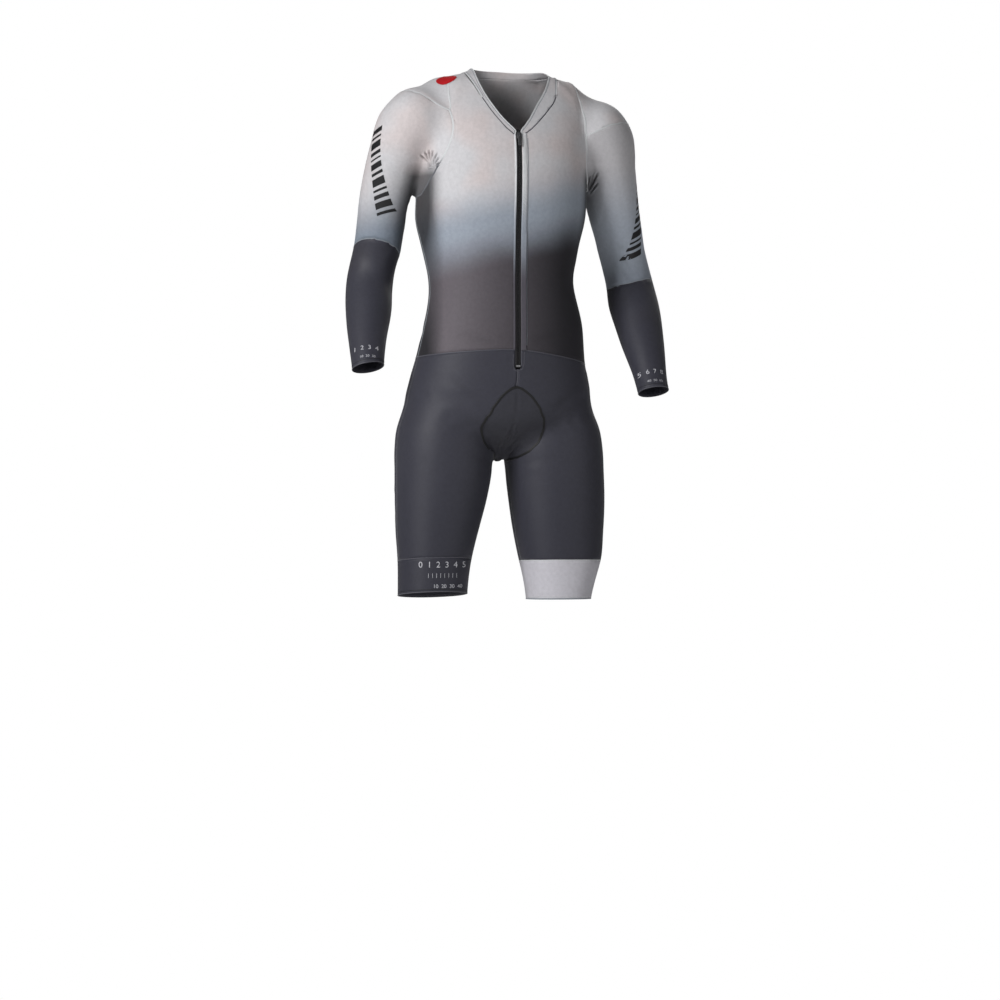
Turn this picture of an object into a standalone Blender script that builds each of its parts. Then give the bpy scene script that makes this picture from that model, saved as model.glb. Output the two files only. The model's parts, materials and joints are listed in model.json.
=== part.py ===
"""Cycling skinsuit, as it hangs on a standing rider: each cut panel is a thin wall on one smooth form.

Metres. +Z is up, the front faces -Y, and +X is the wearer's left. The origin is at the base of the neck.
"""

import math

import bmesh
import bpy
import numpy as np
from mathutils import Matrix

for thing in list(bpy.data.objects):
    bpy.data.objects.remove(thing, do_unlink=True)

WALL = 0.0016
SEAM_GAP = 0.0003
RIGHT, LEFT = -1, 1

# The form under the cloth: torso and legs as level sections, arms as tubes.

TORSO = np.array(
    [
        # z, middle_x, half_width, front_y, back_y
        (0.040, 0.006, 0.060, -0.034, 0.062),
        (0.012, 0.006, 0.065, -0.037, 0.066),
        (-0.002, 0.004, 0.094, -0.040, 0.070),
        (-0.012, 0.002, 0.136, -0.044, 0.077),
        (-0.028, 0.003, 0.155, -0.053, 0.088),
        (-0.050, 0.002, 0.165, -0.066, 0.100),
        (-0.080, 0.000, 0.167, -0.081, 0.112),
        (-0.115, 0.000, 0.164, -0.094, 0.122),
        (-0.160, -0.001, 0.158, -0.101, 0.131),
        (-0.210, 0.000, 0.1575, -0.101, 0.136),
        (-0.264, -0.002, 0.157, -0.097, 0.135),
        (-0.300, -0.003, 0.148, -0.094, 0.129),
        (-0.337, -0.003, 0.140, -0.092, 0.120),
        (-0.374, -0.003, 0.1335, -0.091, 0.112),
        (-0.410, 0.000, 0.137, -0.091, 0.110),
        (-0.447, 0.002, 0.145, -0.092, 0.116),
        (-0.483, 0.001, 0.151, -0.092, 0.126),
        (-0.520, -0.001, 0.157, -0.091, 0.138),
        (-0.556, -0.001, 0.166, -0.090, 0.148),
        (-0.592, -0.002, 0.170, -0.087, 0.152),
        (-0.630, -0.003, 0.140, -0.079, 0.146),
        (-0.655, -0.003, 0.080, -0.052, 0.118),
        (-0.676, -0.003, 0.030, -0.008, 0.070),
    ]
)[::-1]

LEG = {
    RIGHT: np.array(
        [
            # z, middle_x, half_width, front_y, back_y
            (-0.500, -0.070, 0.010, 0.015, 0.035),
            (-0.560, -0.085, 0.040, -0.015, 0.070),
            (-0.600, -0.096, 0.074, -0.048, 0.112),
            (-0.640, -0.103, 0.086, -0.060, 0.122),
            (-0.680, -0.106, 0.089, -0.063, 0.120),
            (-0.720, -0.108, 0.088, -0.062, 0.114),
            (-0.775, -0.114, 0.083, -0.059, 0.103),
            (-0.830, -0.122, 0.075, -0.056, 0.090),
            (-0.885, -0.1285, 0.0665, -0.054, 0.076),
            (-0.950, -0.133, 0.0625, -0.053, 0.069),
            (-1.000, -0.134, 0.062, -0.054, 0.066),
        ]
    )[::-1],
    LEFT: np.array(
        [
            # z, middle_x, half_width, front_y, back_y
            (-0.500, 0.070, 0.010, 0.015, 0.035),
            (-0.560, 0.083, 0.040, -0.015, 0.070),
            (-0.600, 0.092, 0.074, -0.046, 0.114),
            (-0.640, 0.099, 0.087, -0.058, 0.124),
            (-0.680, 0.103, 0.090, -0.061, 0.122),
            (-0.720, 0.105, 0.090, -0.060, 0.118),
            (-0.775, 0.108, 0.088, -0.058, 0.110),
            (-0.830, 0.110, 0.083, -0.056, 0.101),
            (-0.885, 0.112, 0.075, -0.054, 0.090),
            (-0.920, 0.110, 0.066, -0.052, 0.080),
            (-0.960, 0.107, 0.0585, -0.050, 0.070),
            (-1.000, 0.110, 0.060, -0.050, 0.068),
        ]
    )[::-1],
}

ARM = {
    RIGHT: np.array(
        [
            # step, x, y, z, radius
            (0, -0.163, 0.004, -0.089, 0.060),
            (1, -0.180, 0.010, -0.108, 0.058),
            (2, -0.194, 0.019, -0.141, 0.052),
            (3, -0.204, 0.045, -0.183, 0.047),
            (4, -0.209, 0.068, -0.226, 0.045),
            (5, -0.210, 0.089, -0.270, 0.044),
            (6, -0.212, 0.108, -0.312, 0.043),
            (7, -0.220, 0.117, -0.350, 0.042),
            (8, -0.228, 0.106, -0.390, 0.043),
            (9, -0.235, 0.079, -0.428, 0.042),
            (10, -0.244, 0.050, -0.466, 0.037),
            (11, -0.251, 0.020, -0.504, 0.032),
            (12, -0.256, -0.005, -0.541, 0.0285),
            (13, -0.260, -0.027, -0.574, 0.0285),
        ]
    ),
    LEFT: np.array(
        [
            # step, x, y, z, radius
            (0, 0.176, 0.004, -0.102, 0.062),
            (1, 0.190, 0.008, -0.118, 0.060),
            (2, 0.201, 0.013, -0.148, 0.053),
            (3, 0.212, 0.027, -0.190, 0.050),
            (4, 0.224, 0.043, -0.234, 0.048),
            (5, 0.239, 0.060, -0.274, 0.045),
            (6, 0.252, 0.073, -0.316, 0.043),
            (7, 0.265, 0.075, -0.362, 0.043),
            (8, 0.267, 0.058, -0.402, 0.046),
            (9, 0.267, 0.028, -0.440, 0.044),
            (10, 0.265, -0.003, -0.479, 0.040),
            (11, 0.264, -0.034, -0.518, 0.034),
            (12, 0.263, -0.065, -0.565, 0.0285),
            (13, 0.263, -0.086, -0.597, 0.0285),
        ]
    ),
}

SECTION_POWER = 2.2
ARM_BLEND = 0.017
LEG_BLEND = 0.022
ARM_SEGMENTS = 40
SLOPE_STEP = 0.0006


def interpolate(table, at):
    """Reads a table at the places in its first column, with a smooth curve through the other columns."""
    places, values = table[:, 0], table[:, 1:]
    slopes = np.gradient(values, places, axis=0)
    at = np.clip(at, places[0], places[-1])
    low = np.clip(np.searchsorted(places, at, side="right") - 1, 0, len(places) - 2)
    step = (places[low + 1] - places[low])[..., None]
    share = (at - places[low])[..., None] / step
    rest = 1 - share
    start = rest**2 * (1 + 2 * share) * values[low] + rest**2 * share * step * slopes[low]
    end = share**2 * (1 + 2 * rest) * values[low + 1] - share**2 * rest * step * slopes[low + 1]
    return start + end


def section_distance(points, table):
    """How far points lie outside a body of level sections, roughly, and below zero inside it."""
    middle_x, half_width, front_y, back_y = np.moveaxis(interpolate(table, points[..., 2]), -1, 0)
    half_depth = (back_y - front_y) / 2
    across = np.abs(points[..., 0] - middle_x) / half_width
    along = np.abs(points[..., 1] - (front_y + back_y) / 2) / half_depth
    ratio = (across**SECTION_POWER + along**SECTION_POWER) ** (1 / SECTION_POWER)
    beyond = np.abs(points[..., 2] - np.clip(points[..., 2], table[0, 0], table[-1, 0]))
    return (ratio - 1) * np.minimum(half_width, half_depth) + beyond


def tube_distance(points, table):
    """How far points lie outside a round tube that bends through the table's rows."""
    nodes = interpolate(table, np.linspace(0, table[-1, 0], ARM_SEGMENTS + 1))
    starts, steps = nodes[:-1, :3], np.diff(nodes[:, :3], axis=0)
    offsets = points[..., None, :] - starts
    share = np.clip((offsets * steps).sum(-1) / (steps**2).sum(-1), 0, 1)
    radius = nodes[:-1, 3] + share * np.diff(nodes[:, 3])
    gaps = np.linalg.norm(offsets - share[..., None] * steps, axis=-1) - radius
    return gaps.min(-1)


def blended(first, second, reach):
    """The nearer of two distances, rounded where they are within reach of each other."""
    overlap = np.clip(reach - np.abs(first - second), 0, None) / reach
    return np.minimum(first, second) - overlap**2 * reach / 4


def form_distance(points):
    distance = section_distance(points, TORSO)
    for side in (RIGHT, LEFT):
        distance = blended(distance, section_distance(points, LEG[side]), LEG_BLEND)
        distance = blended(distance, tube_distance(points, ARM[side]), ARM_BLEND)
    return distance


def steepest(points):
    """How fast the distance grows at each point, and which way."""
    shifts = SLOPE_STEP * np.eye(3)
    changes = [form_distance(points + shift) - form_distance(points - shift) for shift in shifts]
    return np.stack(changes, axis=-1) / (2 * SLOPE_STEP)


def outward(points):
    """The unit direction straight out of the form at each point."""
    slope = steepest(points)
    return slope / np.linalg.norm(slope, axis=-1, keepdims=True)


def cast(starts, directions):
    """Goes out from each start and returns the first point where the form ends."""
    directions = directions / np.linalg.norm(directions, axis=-1, keepdims=True)
    tries = np.linspace(0.004, 0.28, 139)
    found = form_distance(starts[..., None, :] + tries[:, None] * directions[..., None, :])
    leaves = (found[..., :-1] <= 0) & (found[..., 1:] > 0)
    first = leaves.argmax(-1)
    low, high = tries[first], tries[first + 1]
    for _ in range(16):
        middle = (low + high) / 2
        outside = form_distance(starts + middle[..., None] * directions) > 0
        low, high = np.where(outside, low, middle), np.where(outside, middle, high)
    return starts + low[..., None] * directions


def settled(points, rounds=14):
    """Moves points that are near the form straight onto it."""
    for _ in range(rounds):
        slope = steepest(points)
        steepness = np.clip((slope**2).sum(-1), 0.25, None)
        points = points - 0.8 * (form_distance(points) / steepness)[..., None] * slope
    return points


# Places on the form. A turn of 0 degrees looks to the front, and 90 to the wearer's left.


def axis_point(table, z):
    middle_x, _, front_y, back_y = np.moveaxis(interpolate(table, z), -1, 0)
    return np.stack([middle_x, (front_y + back_y) / 2, z], axis=-1)


def turned(turn):
    angle = np.radians(turn)
    return np.stack([np.sin(angle), -np.cos(angle), np.zeros_like(angle)], axis=-1)


def around(table, turn, z):
    """The points of the form straight out from the upright axis of a table."""
    turn, z = np.broadcast_arrays(np.asarray(turn, float), np.asarray(z, float))
    return cast(axis_point(table, z), turned(turn))


def seen_from(table, points, facing):
    """Turn, height and distance of points from the axis, with turns counted up and down from the facing one."""
    offset = points - axis_point(table, points[..., 2])
    turn = np.degrees(np.arctan2(offset[..., 0], -offset[..., 1]))
    turn = facing + (turn - facing + 180) % 360 - 180
    return np.stack([turn, points[..., 2], np.linalg.norm(offset, axis=-1)], axis=-1)


CORE_Y = 0.02


def middle_line(x, z, facing):
    """The points of the form straight ahead of its core (facing -1) or behind it (facing 1)."""
    x, z = np.broadcast_arrays(np.asarray(x, float), np.asarray(z, float))
    starts = np.stack([x, np.full_like(x, CORE_Y), z], axis=-1)
    return cast(starts, np.broadcast_to([0.0, facing, 0.0], starts.shape))


RING = {
    RIGHT: np.array(
        [
            # ring, inner_x, inner_z, outer_x, outer_z, middle_y, front_rise_degrees
            (-2, -0.1600, -0.235, -0.040, -0.010, 0.028, 0),
            (-1, -0.1600, -0.235, -0.078, -0.012, 0.028, 0),
            (0, -0.1600, -0.235, -0.115, -0.015, 0.028, 0),
            (1, -0.1620, -0.243, -0.152, -0.018, 0.026, 0),
            (2, -0.1630, -0.250, -0.190, -0.036, 0.026, 0),
            (3, -0.1630, -0.257, -0.217, -0.065, 0.029, 0),
            (4, -0.1630, -0.264, -0.234, -0.102, 0.035, 0),
            (5, -0.1630, -0.271, -0.243, -0.145, 0.046, 2),
            (6, -0.1630, -0.279, -0.249, -0.190, 0.061, 5),
            (7, -0.1650, -0.290, -0.252, -0.235, 0.078, 9),
            (8, -0.1690, -0.310, -0.256, -0.272, 0.096, 13),
            (9, -0.1730, -0.327, -0.259, -0.304, 0.108, 16),
            (10, -0.1810, -0.360, -0.265, -0.345, 0.115, 14),
            (11, -0.1870, -0.395, -0.272, -0.385, 0.104, 14),
            (12, -0.1970, -0.430, -0.278, -0.425, 0.079, 15),
            (13, -0.2080, -0.465, -0.282, -0.463, 0.050, 16),
            (14, -0.2190, -0.500, -0.284, -0.502, 0.021, 17),
            (15, -0.2270, -0.533, -0.285, -0.540, -0.003, 17),
        ]
    ),
    LEFT: np.array(
        [
            # ring, inner_x, inner_z, outer_x, outer_z, middle_y, front_rise_degrees
            (-1, 0.1660, -0.245, 0.100, -0.012, 0.024, 0),
            (0, 0.1660, -0.245, 0.132, -0.018, 0.024, 0),
            (1, 0.1690, -0.252, 0.166, -0.028, 0.022, 0),
            (2, 0.1710, -0.258, 0.199, -0.047, 0.020, 0),
            (3, 0.1730, -0.264, 0.226, -0.075, 0.021, 0),
            (4, 0.1750, -0.270, 0.244, -0.112, 0.024, 0),
            (5, 0.1770, -0.276, 0.255, -0.152, 0.032, 0),
            (6, 0.1800, -0.284, 0.264, -0.196, 0.043, 0),
            (7, 0.1870, -0.295, 0.273, -0.238, 0.053, 0),
            (8, 0.1970, -0.317, 0.284, -0.280, 0.064, 0),
            (9, 0.2100, -0.348, 0.296, -0.320, 0.073, 0),
            (10, 0.2215, -0.380, 0.309, -0.358, 0.074, 2),
            (11, 0.2220, -0.415, 0.313, -0.400, 0.054, 8),
            (12, 0.2220, -0.450, 0.312, -0.440, 0.025, 14),
            (13, 0.2240, -0.485, 0.308, -0.478, -0.004, 16),
            (14, 0.2290, -0.520, 0.299, -0.515, -0.033, 17),
            (15, 0.2340, -0.552, 0.293, -0.548, -0.054, 17),
            (16, 0.2350, -0.579, 0.291, -0.576, -0.074, 17),
        ]
    ),
}
ARMHOLE = {
    # turn round the arm from the shoulder over the front to the underarm, and the ring that the seam follows
    RIGHT: np.array(
        [
            (0, -0.05),
            (30, -0.12),
            (60, -0.45),
            (90, -1.15),
            (120, -1.15),
            (150, -0.75),
            (180, 0.00),
        ]
    ),
    LEFT: np.array(
        [
            (0, -0.05),
            (30, -0.10),
            (60, -0.10),
            (90, -0.35),
            (120, -0.50),
            (150, -0.10),
            (180, 0.25),
        ]
    ),
}
FOREARM_RING = {RIGHT: 9, LEFT: 10}
ARM_TURNS = np.arange(0, 361, 15)


def on_arm(side, ring, turn):
    """Points of the sleeve. A turn of 0 is the outer side or shoulder, 90 the front and 180 the underarm."""
    ring, turn = np.broadcast_arrays(np.asarray(ring, float), np.asarray(turn, float))
    inner_x, inner_z, outer_x, outer_z, middle_y, rise = np.moveaxis(interpolate(RING[side], ring), -1, 0)
    middle = np.stack([(inner_x + outer_x) / 2, middle_y, (inner_z + outer_z) / 2], axis=-1)
    out = np.stack([outer_x - inner_x, np.zeros_like(rise), outer_z - inner_z], axis=-1)
    out = out / np.linalg.norm(out, axis=-1, keepdims=True)
    front = np.stack([np.zeros_like(rise), -np.cos(np.radians(rise)), np.sin(np.radians(rise))], axis=-1)
    angle = np.radians(turn)[..., None]
    return cast(middle, np.cos(angle) * out + np.sin(angle) * front)


def armhole_ring(side, turn):
    """The ring that the armhole follows at a turn round the arm: over the back it swings to ring 0."""
    turn = (np.asarray(turn, float) + 180) % 360 - 180
    front = interpolate(ARMHOLE[side], np.abs(turn))[..., 0]
    return np.where(turn < 0, ARMHOLE[side][0, 1] * np.clip(1 + turn / 60, 0, 1), front)


def along(start, end, steps):
    """Points at even steps on the straight line between two points or chains."""
    share = np.linspace(0, 1, steps + 1).reshape(-1, *[1] * np.ndim(start))
    return start + share * (end - start)


def joined(*chains):
    """Chains of points end to end, each one starting where the last one ends."""
    return np.concatenate([chains[0], *(chain[1:] for chain in chains[1:])])


def evenly(start, end, steps):
    return np.linspace(start, end, steps + 1)


# Seams, as chains of points that neighbouring panels share.

NECK = np.array(
    [
        # turn, edge_z, seam_z
        (-180, 0.016, 0.003),
        (-120, 0.015, 0.003),
        (-90, 0.012, 0.002),
        (-66, 0.005, -0.003),
        (-48, -0.014, -0.027),
        (-36, -0.042, -0.054),
        (-22, -0.072, -0.085),
        (-8, -0.101, -0.114),
        (0, -0.113, -0.124),
        (8, -0.101, -0.116),
        (20, -0.071, -0.098),
        (31, -0.049, -0.079),
        (43, -0.028, -0.055),
        (50, -0.016, -0.040),
        (57, -0.008, -0.023),
        (63, -0.002, -0.0105),
        (77, 0.006, -0.002),
        (90, 0.010, 0.001),
        (120, 0.013, 0.002),
        (180, 0.016, 0.003),
    ]
)
WAIST = np.array(
    [
        # turn, z
        (-180, -0.512),
        (-90, -0.515),
        (0, -0.506),
        (90, -0.527),
        (180, -0.512),
    ]
)
LEG_BAND = {
    # middle and front rise of the band's top, then of the hem
    RIGHT: (-0.884, 0.006, -0.947, 0.007),
    LEFT: (-0.886, 0.002, -0.957, 0.001),
}
PAD_FRONT = np.array(
    [
        # turn_down, half_width
        (-14, 0.000),
        (-6, 0.026),
        (6, 0.046),
        (22, 0.058),
        (38, 0.055),
        (52, 0.038),
        (62, 0.0255),
        (71, 0.0185),
        (80, 0.0145),
        (90, 0.0130),
    ]
)
PAD_BACK = np.array(
    [
        # turn_down, half_width
        (90, 0.0130),
        (106, 0.0155),
        (122, 0.029),
        (136, 0.042),
        (148, 0.046),
        (160, 0.040),
        (171, 0.026),
        (180, 0.000),
    ]
)
PAD_CORE_Y, PAD_CORE_Z = 0.030, -0.600
PAD_MARGIN = 0.0006
YOKE_TIP = {RIGHT: 60, LEFT: 75}
YOKE_DEPTH = {RIGHT: 2.2, LEFT: 3.6}
ZIP_HALF = 0.005
ZIP_END_Z = -0.5385
PAD_TOP_Z = -0.570
PAD_END_Z = -0.600
BINDING = {RIGHT: (0.0004, 0.0040), LEFT: (0.0004, 0.0105)}
BINDING_FOOT, BINDING_TOP = 0.0006, 0.0014
SLIDER_Z = -0.1225
ARCH_WIRE, ARCH_RADIUS, ARCH_Y = 0.0006, 0.0045, -0.0016
PULL_AXIS_Y = -0.0044
NECK_TURNS = np.array([3, 12, 24, 37, 50, 63, 77, 90])
BACK_NECK_TURNS = np.array([90, 112, 135, 157, 180])
SHOULDER_STEPS, SIDE_STEPS, FRONT_STEPS, BACK_STEPS = 4, 8, 11, 8
FRONT_ROWS, ZIP_SHORTS_STEPS, CENTRE_STEPS, PAD_STEPS, INSEAM_STEPS = 20, 2, 3, 11, 7
SHORTS_ROWS = ZIP_SHORTS_STEPS + CENTRE_STEPS + PAD_STEPS + INSEAM_STEPS
CAP_ROWS, SLEEVE_ROWS, FOREARM_ROWS, BAND_ROWS, PAD_COLUMNS = 4, 11, 7, 3, 6
SHOULDER_CORE_Z = -0.09
TIP_SHARE = 0.06
FRONT_LEG_TURNS = evenly(90, -90, FRONT_STEPS)
BACK_LEG_TURNS = evenly(90, 270, BACK_STEPS)


def waist_point(turn):
    z = interpolate(WAIST, (np.asarray(turn, float) + 180) % 360 - 180)[..., 0]
    return around(TORSO, turn, z)


def neck_point(turn, column):
    z = interpolate(NECK, (np.asarray(turn, float) + 180) % 360 - 180)[..., column]
    return around(TORSO, turn, z)


def pad_turned(turn_down):
    angle = np.radians(turn_down)
    return np.stack([np.zeros_like(angle), -np.cos(angle), -np.sin(angle)], axis=-1)


def pad_core(x):
    """The place on the level core of the pad, between the legs."""
    return np.stack([x, np.full_like(x, PAD_CORE_Y), np.full_like(x, PAD_CORE_Z)], axis=-1)


def pad_edge(side, table):
    """One side of the padded insert's outline, on the form."""
    turn_down = evenly(table[0, 0], table[-1, 0], PAD_STEPS)
    half_width = interpolate(table, turn_down)[:, 0]
    return cast(pad_core(side * half_width), pad_turned(turn_down))


def leg_ring(side, turn, middle, rise):
    return around(LEG[side], turn, middle + rise * np.cos(np.radians(turn)))


SEAM = {}
for side in (RIGHT, LEFT):
    neck_edge_z, neck_seam_z = interpolate(NECK, np.array(3.0 * side))
    waist_z = interpolate(WAIST, np.array(3.0 * side))[0]
    own = {}
    own["zip_collar"] = middle_line(side * ZIP_HALF, evenly(neck_edge_z, neck_seam_z, 2), -1)
    own["zip"] = middle_line(side * ZIP_HALF, evenly(neck_seam_z, waist_z, FRONT_ROWS), -1)
    own["zip_shorts"] = middle_line(side * ZIP_HALF, evenly(waist_z, ZIP_END_Z, ZIP_SHORTS_STEPS), -1)
    own["neck_front"] = np.concatenate([own["zip"][:1], neck_point(side * NECK_TURNS[1:], 1)])
    own["neck_back"] = neck_point(side * BACK_NECK_TURNS, 1)
    half_turns = ARM_TURNS[:13]
    own["armhole_front"] = on_arm(side, armhole_ring(side, half_turns), half_turns)
    own["armhole_back"] = on_arm(side, armhole_ring(side, -half_turns), -half_turns)
    ridge = along(own["neck_front"][-1], own["armhole_front"][0], SHOULDER_STEPS)
    below = ridge * (1, 1, 0) + (0, 0, SHOULDER_CORE_Z)
    own["shoulder"] = cast(below, np.broadcast_to([0.0, 0.0, 1.0], below.shape))
    own["shoulder"][[0, -1]] = ridge[[0, -1]]

    own["waist_front"] = np.concatenate(
        [own["zip"][-1:], waist_point(side * evenly(3, 90, FRONT_STEPS)[1:])]
    )
    own["waist_back"] = waist_point(side * evenly(180, 90, BACK_STEPS))
    pit = seen_from(TORSO, own["armhole_front"][-1], 90 * side)
    waist_side_z = own["waist_front"][-1, 2]
    own["side"] = around(TORSO, evenly(pit[0], 90 * side, SIDE_STEPS), evenly(pit[1], waist_side_z, SIDE_STEPS))
    own["side"][[0, -1]] = own["armhole_front"][-1], own["waist_front"][-1]

    seam_z = evenly(ZIP_END_Z - 0.0015, PAD_TOP_Z, CENTRE_STEPS - 1)
    own["centre_front"] = np.concatenate([own["zip_shorts"], middle_line(0, seam_z, -1)])
    back_z = evenly(own["waist_back"][0, 2], PAD_END_Z, ZIP_SHORTS_STEPS + CENTRE_STEPS)
    own["centre_back"] = middle_line(0, back_z, 1)
    own["centre_back"][0] = own["waist_back"][0]
    own["pad_front"] = pad_edge(side, PAD_FRONT)
    own["pad_back"] = pad_edge(side, PAD_BACK)
    own["pad_front"][0], own["pad_back"][-1] = own["centre_front"][-1], own["centre_back"][-1]

    band_z, band_rise, hem_z, hem_rise = LEG_BAND[side]
    own["band_front"] = leg_ring(side, -side * FRONT_LEG_TURNS, band_z, band_rise)
    own["band_back"] = leg_ring(side, -side * BACK_LEG_TURNS, band_z, band_rise)
    crotch = own["pad_front"][-1]
    top = seen_from(LEG[side], crotch, -90 * side)
    own["inseam"] = around(
        LEG[side], evenly(top[0], -90 * side, INSEAM_STEPS), evenly(top[1], band_z, INSEAM_STEPS)
    )
    own["inseam"][[0, -1]] = crotch, own["band_front"][0]
    hip = seen_from(LEG[side], own["waist_front"][-1], 90 * side)
    own["outseam"] = around(
        LEG[side], evenly(hip[0], 90 * side, SHORTS_ROWS), evenly(hip[1], band_z, SHORTS_ROWS)
    )
    own["outseam"][[0, -1]] = own["waist_front"][-1], own["band_front"][-1]
    SEAM[side] = own


# Panels: a grid of points between four seams, then a wall behind it.


def spread(inner, outer, top, bottom):
    """Fills in a grid between its four sides, row by row from the top, each row from inner to outer."""
    down = np.linspace(0, 1, len(inner))[:, None, None]
    over = np.linspace(0, 1, len(top))[None, :, None]
    upper = (1 - over) * top[0] + over * top[-1]
    lower = (1 - over) * bottom[0] + over * bottom[-1]
    across = (1 - over) * inner[:, None] + over * outer[:, None]
    return across + (1 - down) * (top - upper) + down * (bottom - lower)


def with_sides(grid, inner, outer, top, bottom):
    grid[0], grid[-1], grid[:, 0], grid[:, -1] = top, bottom, inner, outer
    return grid


def upright_panel(table, facing, inner, outer, top, bottom):
    """A grid on the form between four seams, as seen from the upright axis of a table."""
    sides = (inner, outer, top, bottom)
    views = spread(*(seen_from(table, chain, facing) for chain in sides))
    grid = settled(axis_point(table, views[..., 1]) + views[..., 2:] * turned(views[..., 0]))
    return with_sides(grid, *sides)


def level_panel(facing, inner, outer, top, bottom):
    """A grid on the form between four seams, as seen from the front (facing -1) or from behind (facing 1)."""
    x, _, z = np.moveaxis(spread(inner, outer, top, bottom), -1, 0)
    return with_sides(middle_line(x, z, facing), inner, outer, top, bottom)


def opened_tip(chain, ends):
    """A chain whose named ends stop a little short, so that a panel's tip keeps a small width."""
    chain = chain.copy()
    for end in ends:
        step = 1 if end == 0 else -1
        chain[end] += TIP_SHARE * (chain[end + step] - chain[end])
    return chain


def drawn_in(grid, axis, closed, margin):
    """The grid with both of its edges across an axis moved in by a margin, square to the seam."""
    grid = np.moveaxis(grid.copy(), axis, 0)
    for end, step in ((0, 1), (-1, -1)):
        seam = grid[end]
        ends = [seam[-1:], seam, seam[:1]] if closed else [seam[:1], seam, seam[-1:]]
        chain = np.concatenate(ends)
        along_seam = chain[2:] - chain[:-2]
        along_seam /= np.linalg.norm(along_seam, axis=-1, keepdims=True)
        across = grid[end + step] - seam
        across -= (across * along_seam).sum(-1, keepdims=True) * along_seam
        length = np.linalg.norm(across, axis=-1, keepdims=True)
        grid[end] += across * np.minimum(margin / length, 0.3)
    return np.moveaxis(grid, 0, axis)


def walled(name, outer, inner, closed, material):
    """One closed solid between an outer and an inner grid, whose rows may close on themselves."""
    rows, columns = outer.shape[:2]
    index = np.arange(rows * columns).reshape(rows, columns)
    if closed:
        index = np.concatenate([index, index[:, :1]], axis=1)
    shift = rows * columns
    quads = np.stack([index[:-1, :-1], index[1:, :-1], index[1:, 1:], index[:-1, 1:]], axis=-1).reshape(-1, 4)
    corners = outer.reshape(-1, 3)[quads]
    facing = np.cross(corners[:, 2] - corners[:, 0], corners[:, 3] - corners[:, 1])
    # Both sides are cut along the same, shorter diagonal, so that they stay one wall apart.
    diagonals = np.linalg.norm(corners[:, :2] - corners[:, 2:], axis=-1)
    split = np.where(diagonals[:, :1] > diagonals[:, 1:], np.roll(quads, 1, axis=1), quads)
    triangles = np.concatenate([split[:, [0, 1, 2]], split[:, [0, 2, 3]]])
    rims = [index[0], index[-1][::-1]]
    if not closed:
        rims += [index[::-1, 0], index[:, -1]]
    faces = [*triangles.tolist(), *(triangles[:, ::-1] + shift).tolist()]
    for rim in rims:
        faces += np.stack([rim[:-1], rim[1:], rim[1:] + shift, rim[:-1] + shift], axis=-1).tolist()
    if (facing * (outer - inner).reshape(-1, 3)[quads[:, 0]]).sum() < 0:
        faces = [face[::-1] for face in faces]
    mesh = bpy.data.meshes.new(name)
    mesh.from_pydata(np.concatenate([outer.reshape(-1, 3), inner.reshape(-1, 3)]).tolist(), [], faces)
    mesh.shade_smooth()
    mesh.materials.append(material)
    piece = bpy.data.objects.new(name, mesh)
    bpy.context.scene.collection.objects.link(piece)
    return piece


def cloth_panel(name, grid, material, closed=False, margin=SEAM_GAP / 2):
    """Makes a panel from its grid, with a margin at its seams. Returns the grid of its outer side."""
    outer = grid
    for axis in (0,) if closed else (0, 1):
        outer = drawn_in(outer, axis, closed, margin)
    inner = outer - WALL * outward(grid)
    for axis in (0,) if closed else (0, 1):
        inner = drawn_in(inner, axis, closed, margin)
    walled(name, outer, inner, closed, material)
    return outer


def material_of(name, colour, roughness, metallic=0.0):
    material = bpy.data.materials.new(name)
    material.use_nodes = True
    shader = material.node_tree.nodes["Principled BSDF"]
    shader.inputs["Base Color"].default_value = (*colour, 1)
    shader.inputs["Roughness"].default_value = roughness
    shader.inputs["Metallic"].default_value = metallic
    return material


SILVER_CLOTH = material_of("silver_cloth", (0.55, 0.52, 0.52), 0.6)
DARK_CLOTH = material_of("dark_cloth", (0.07, 0.07, 0.08), 0.65)
BLACK_TAPE = material_of("black_tape", (0.012, 0.012, 0.013), 0.7)
SILVER_BAND = material_of("silver_band", (0.5, 0.5, 0.52), 0.45)
METAL = material_of("zip_metal", (0.55, 0.55, 0.56), 0.3, 1.0)

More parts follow.
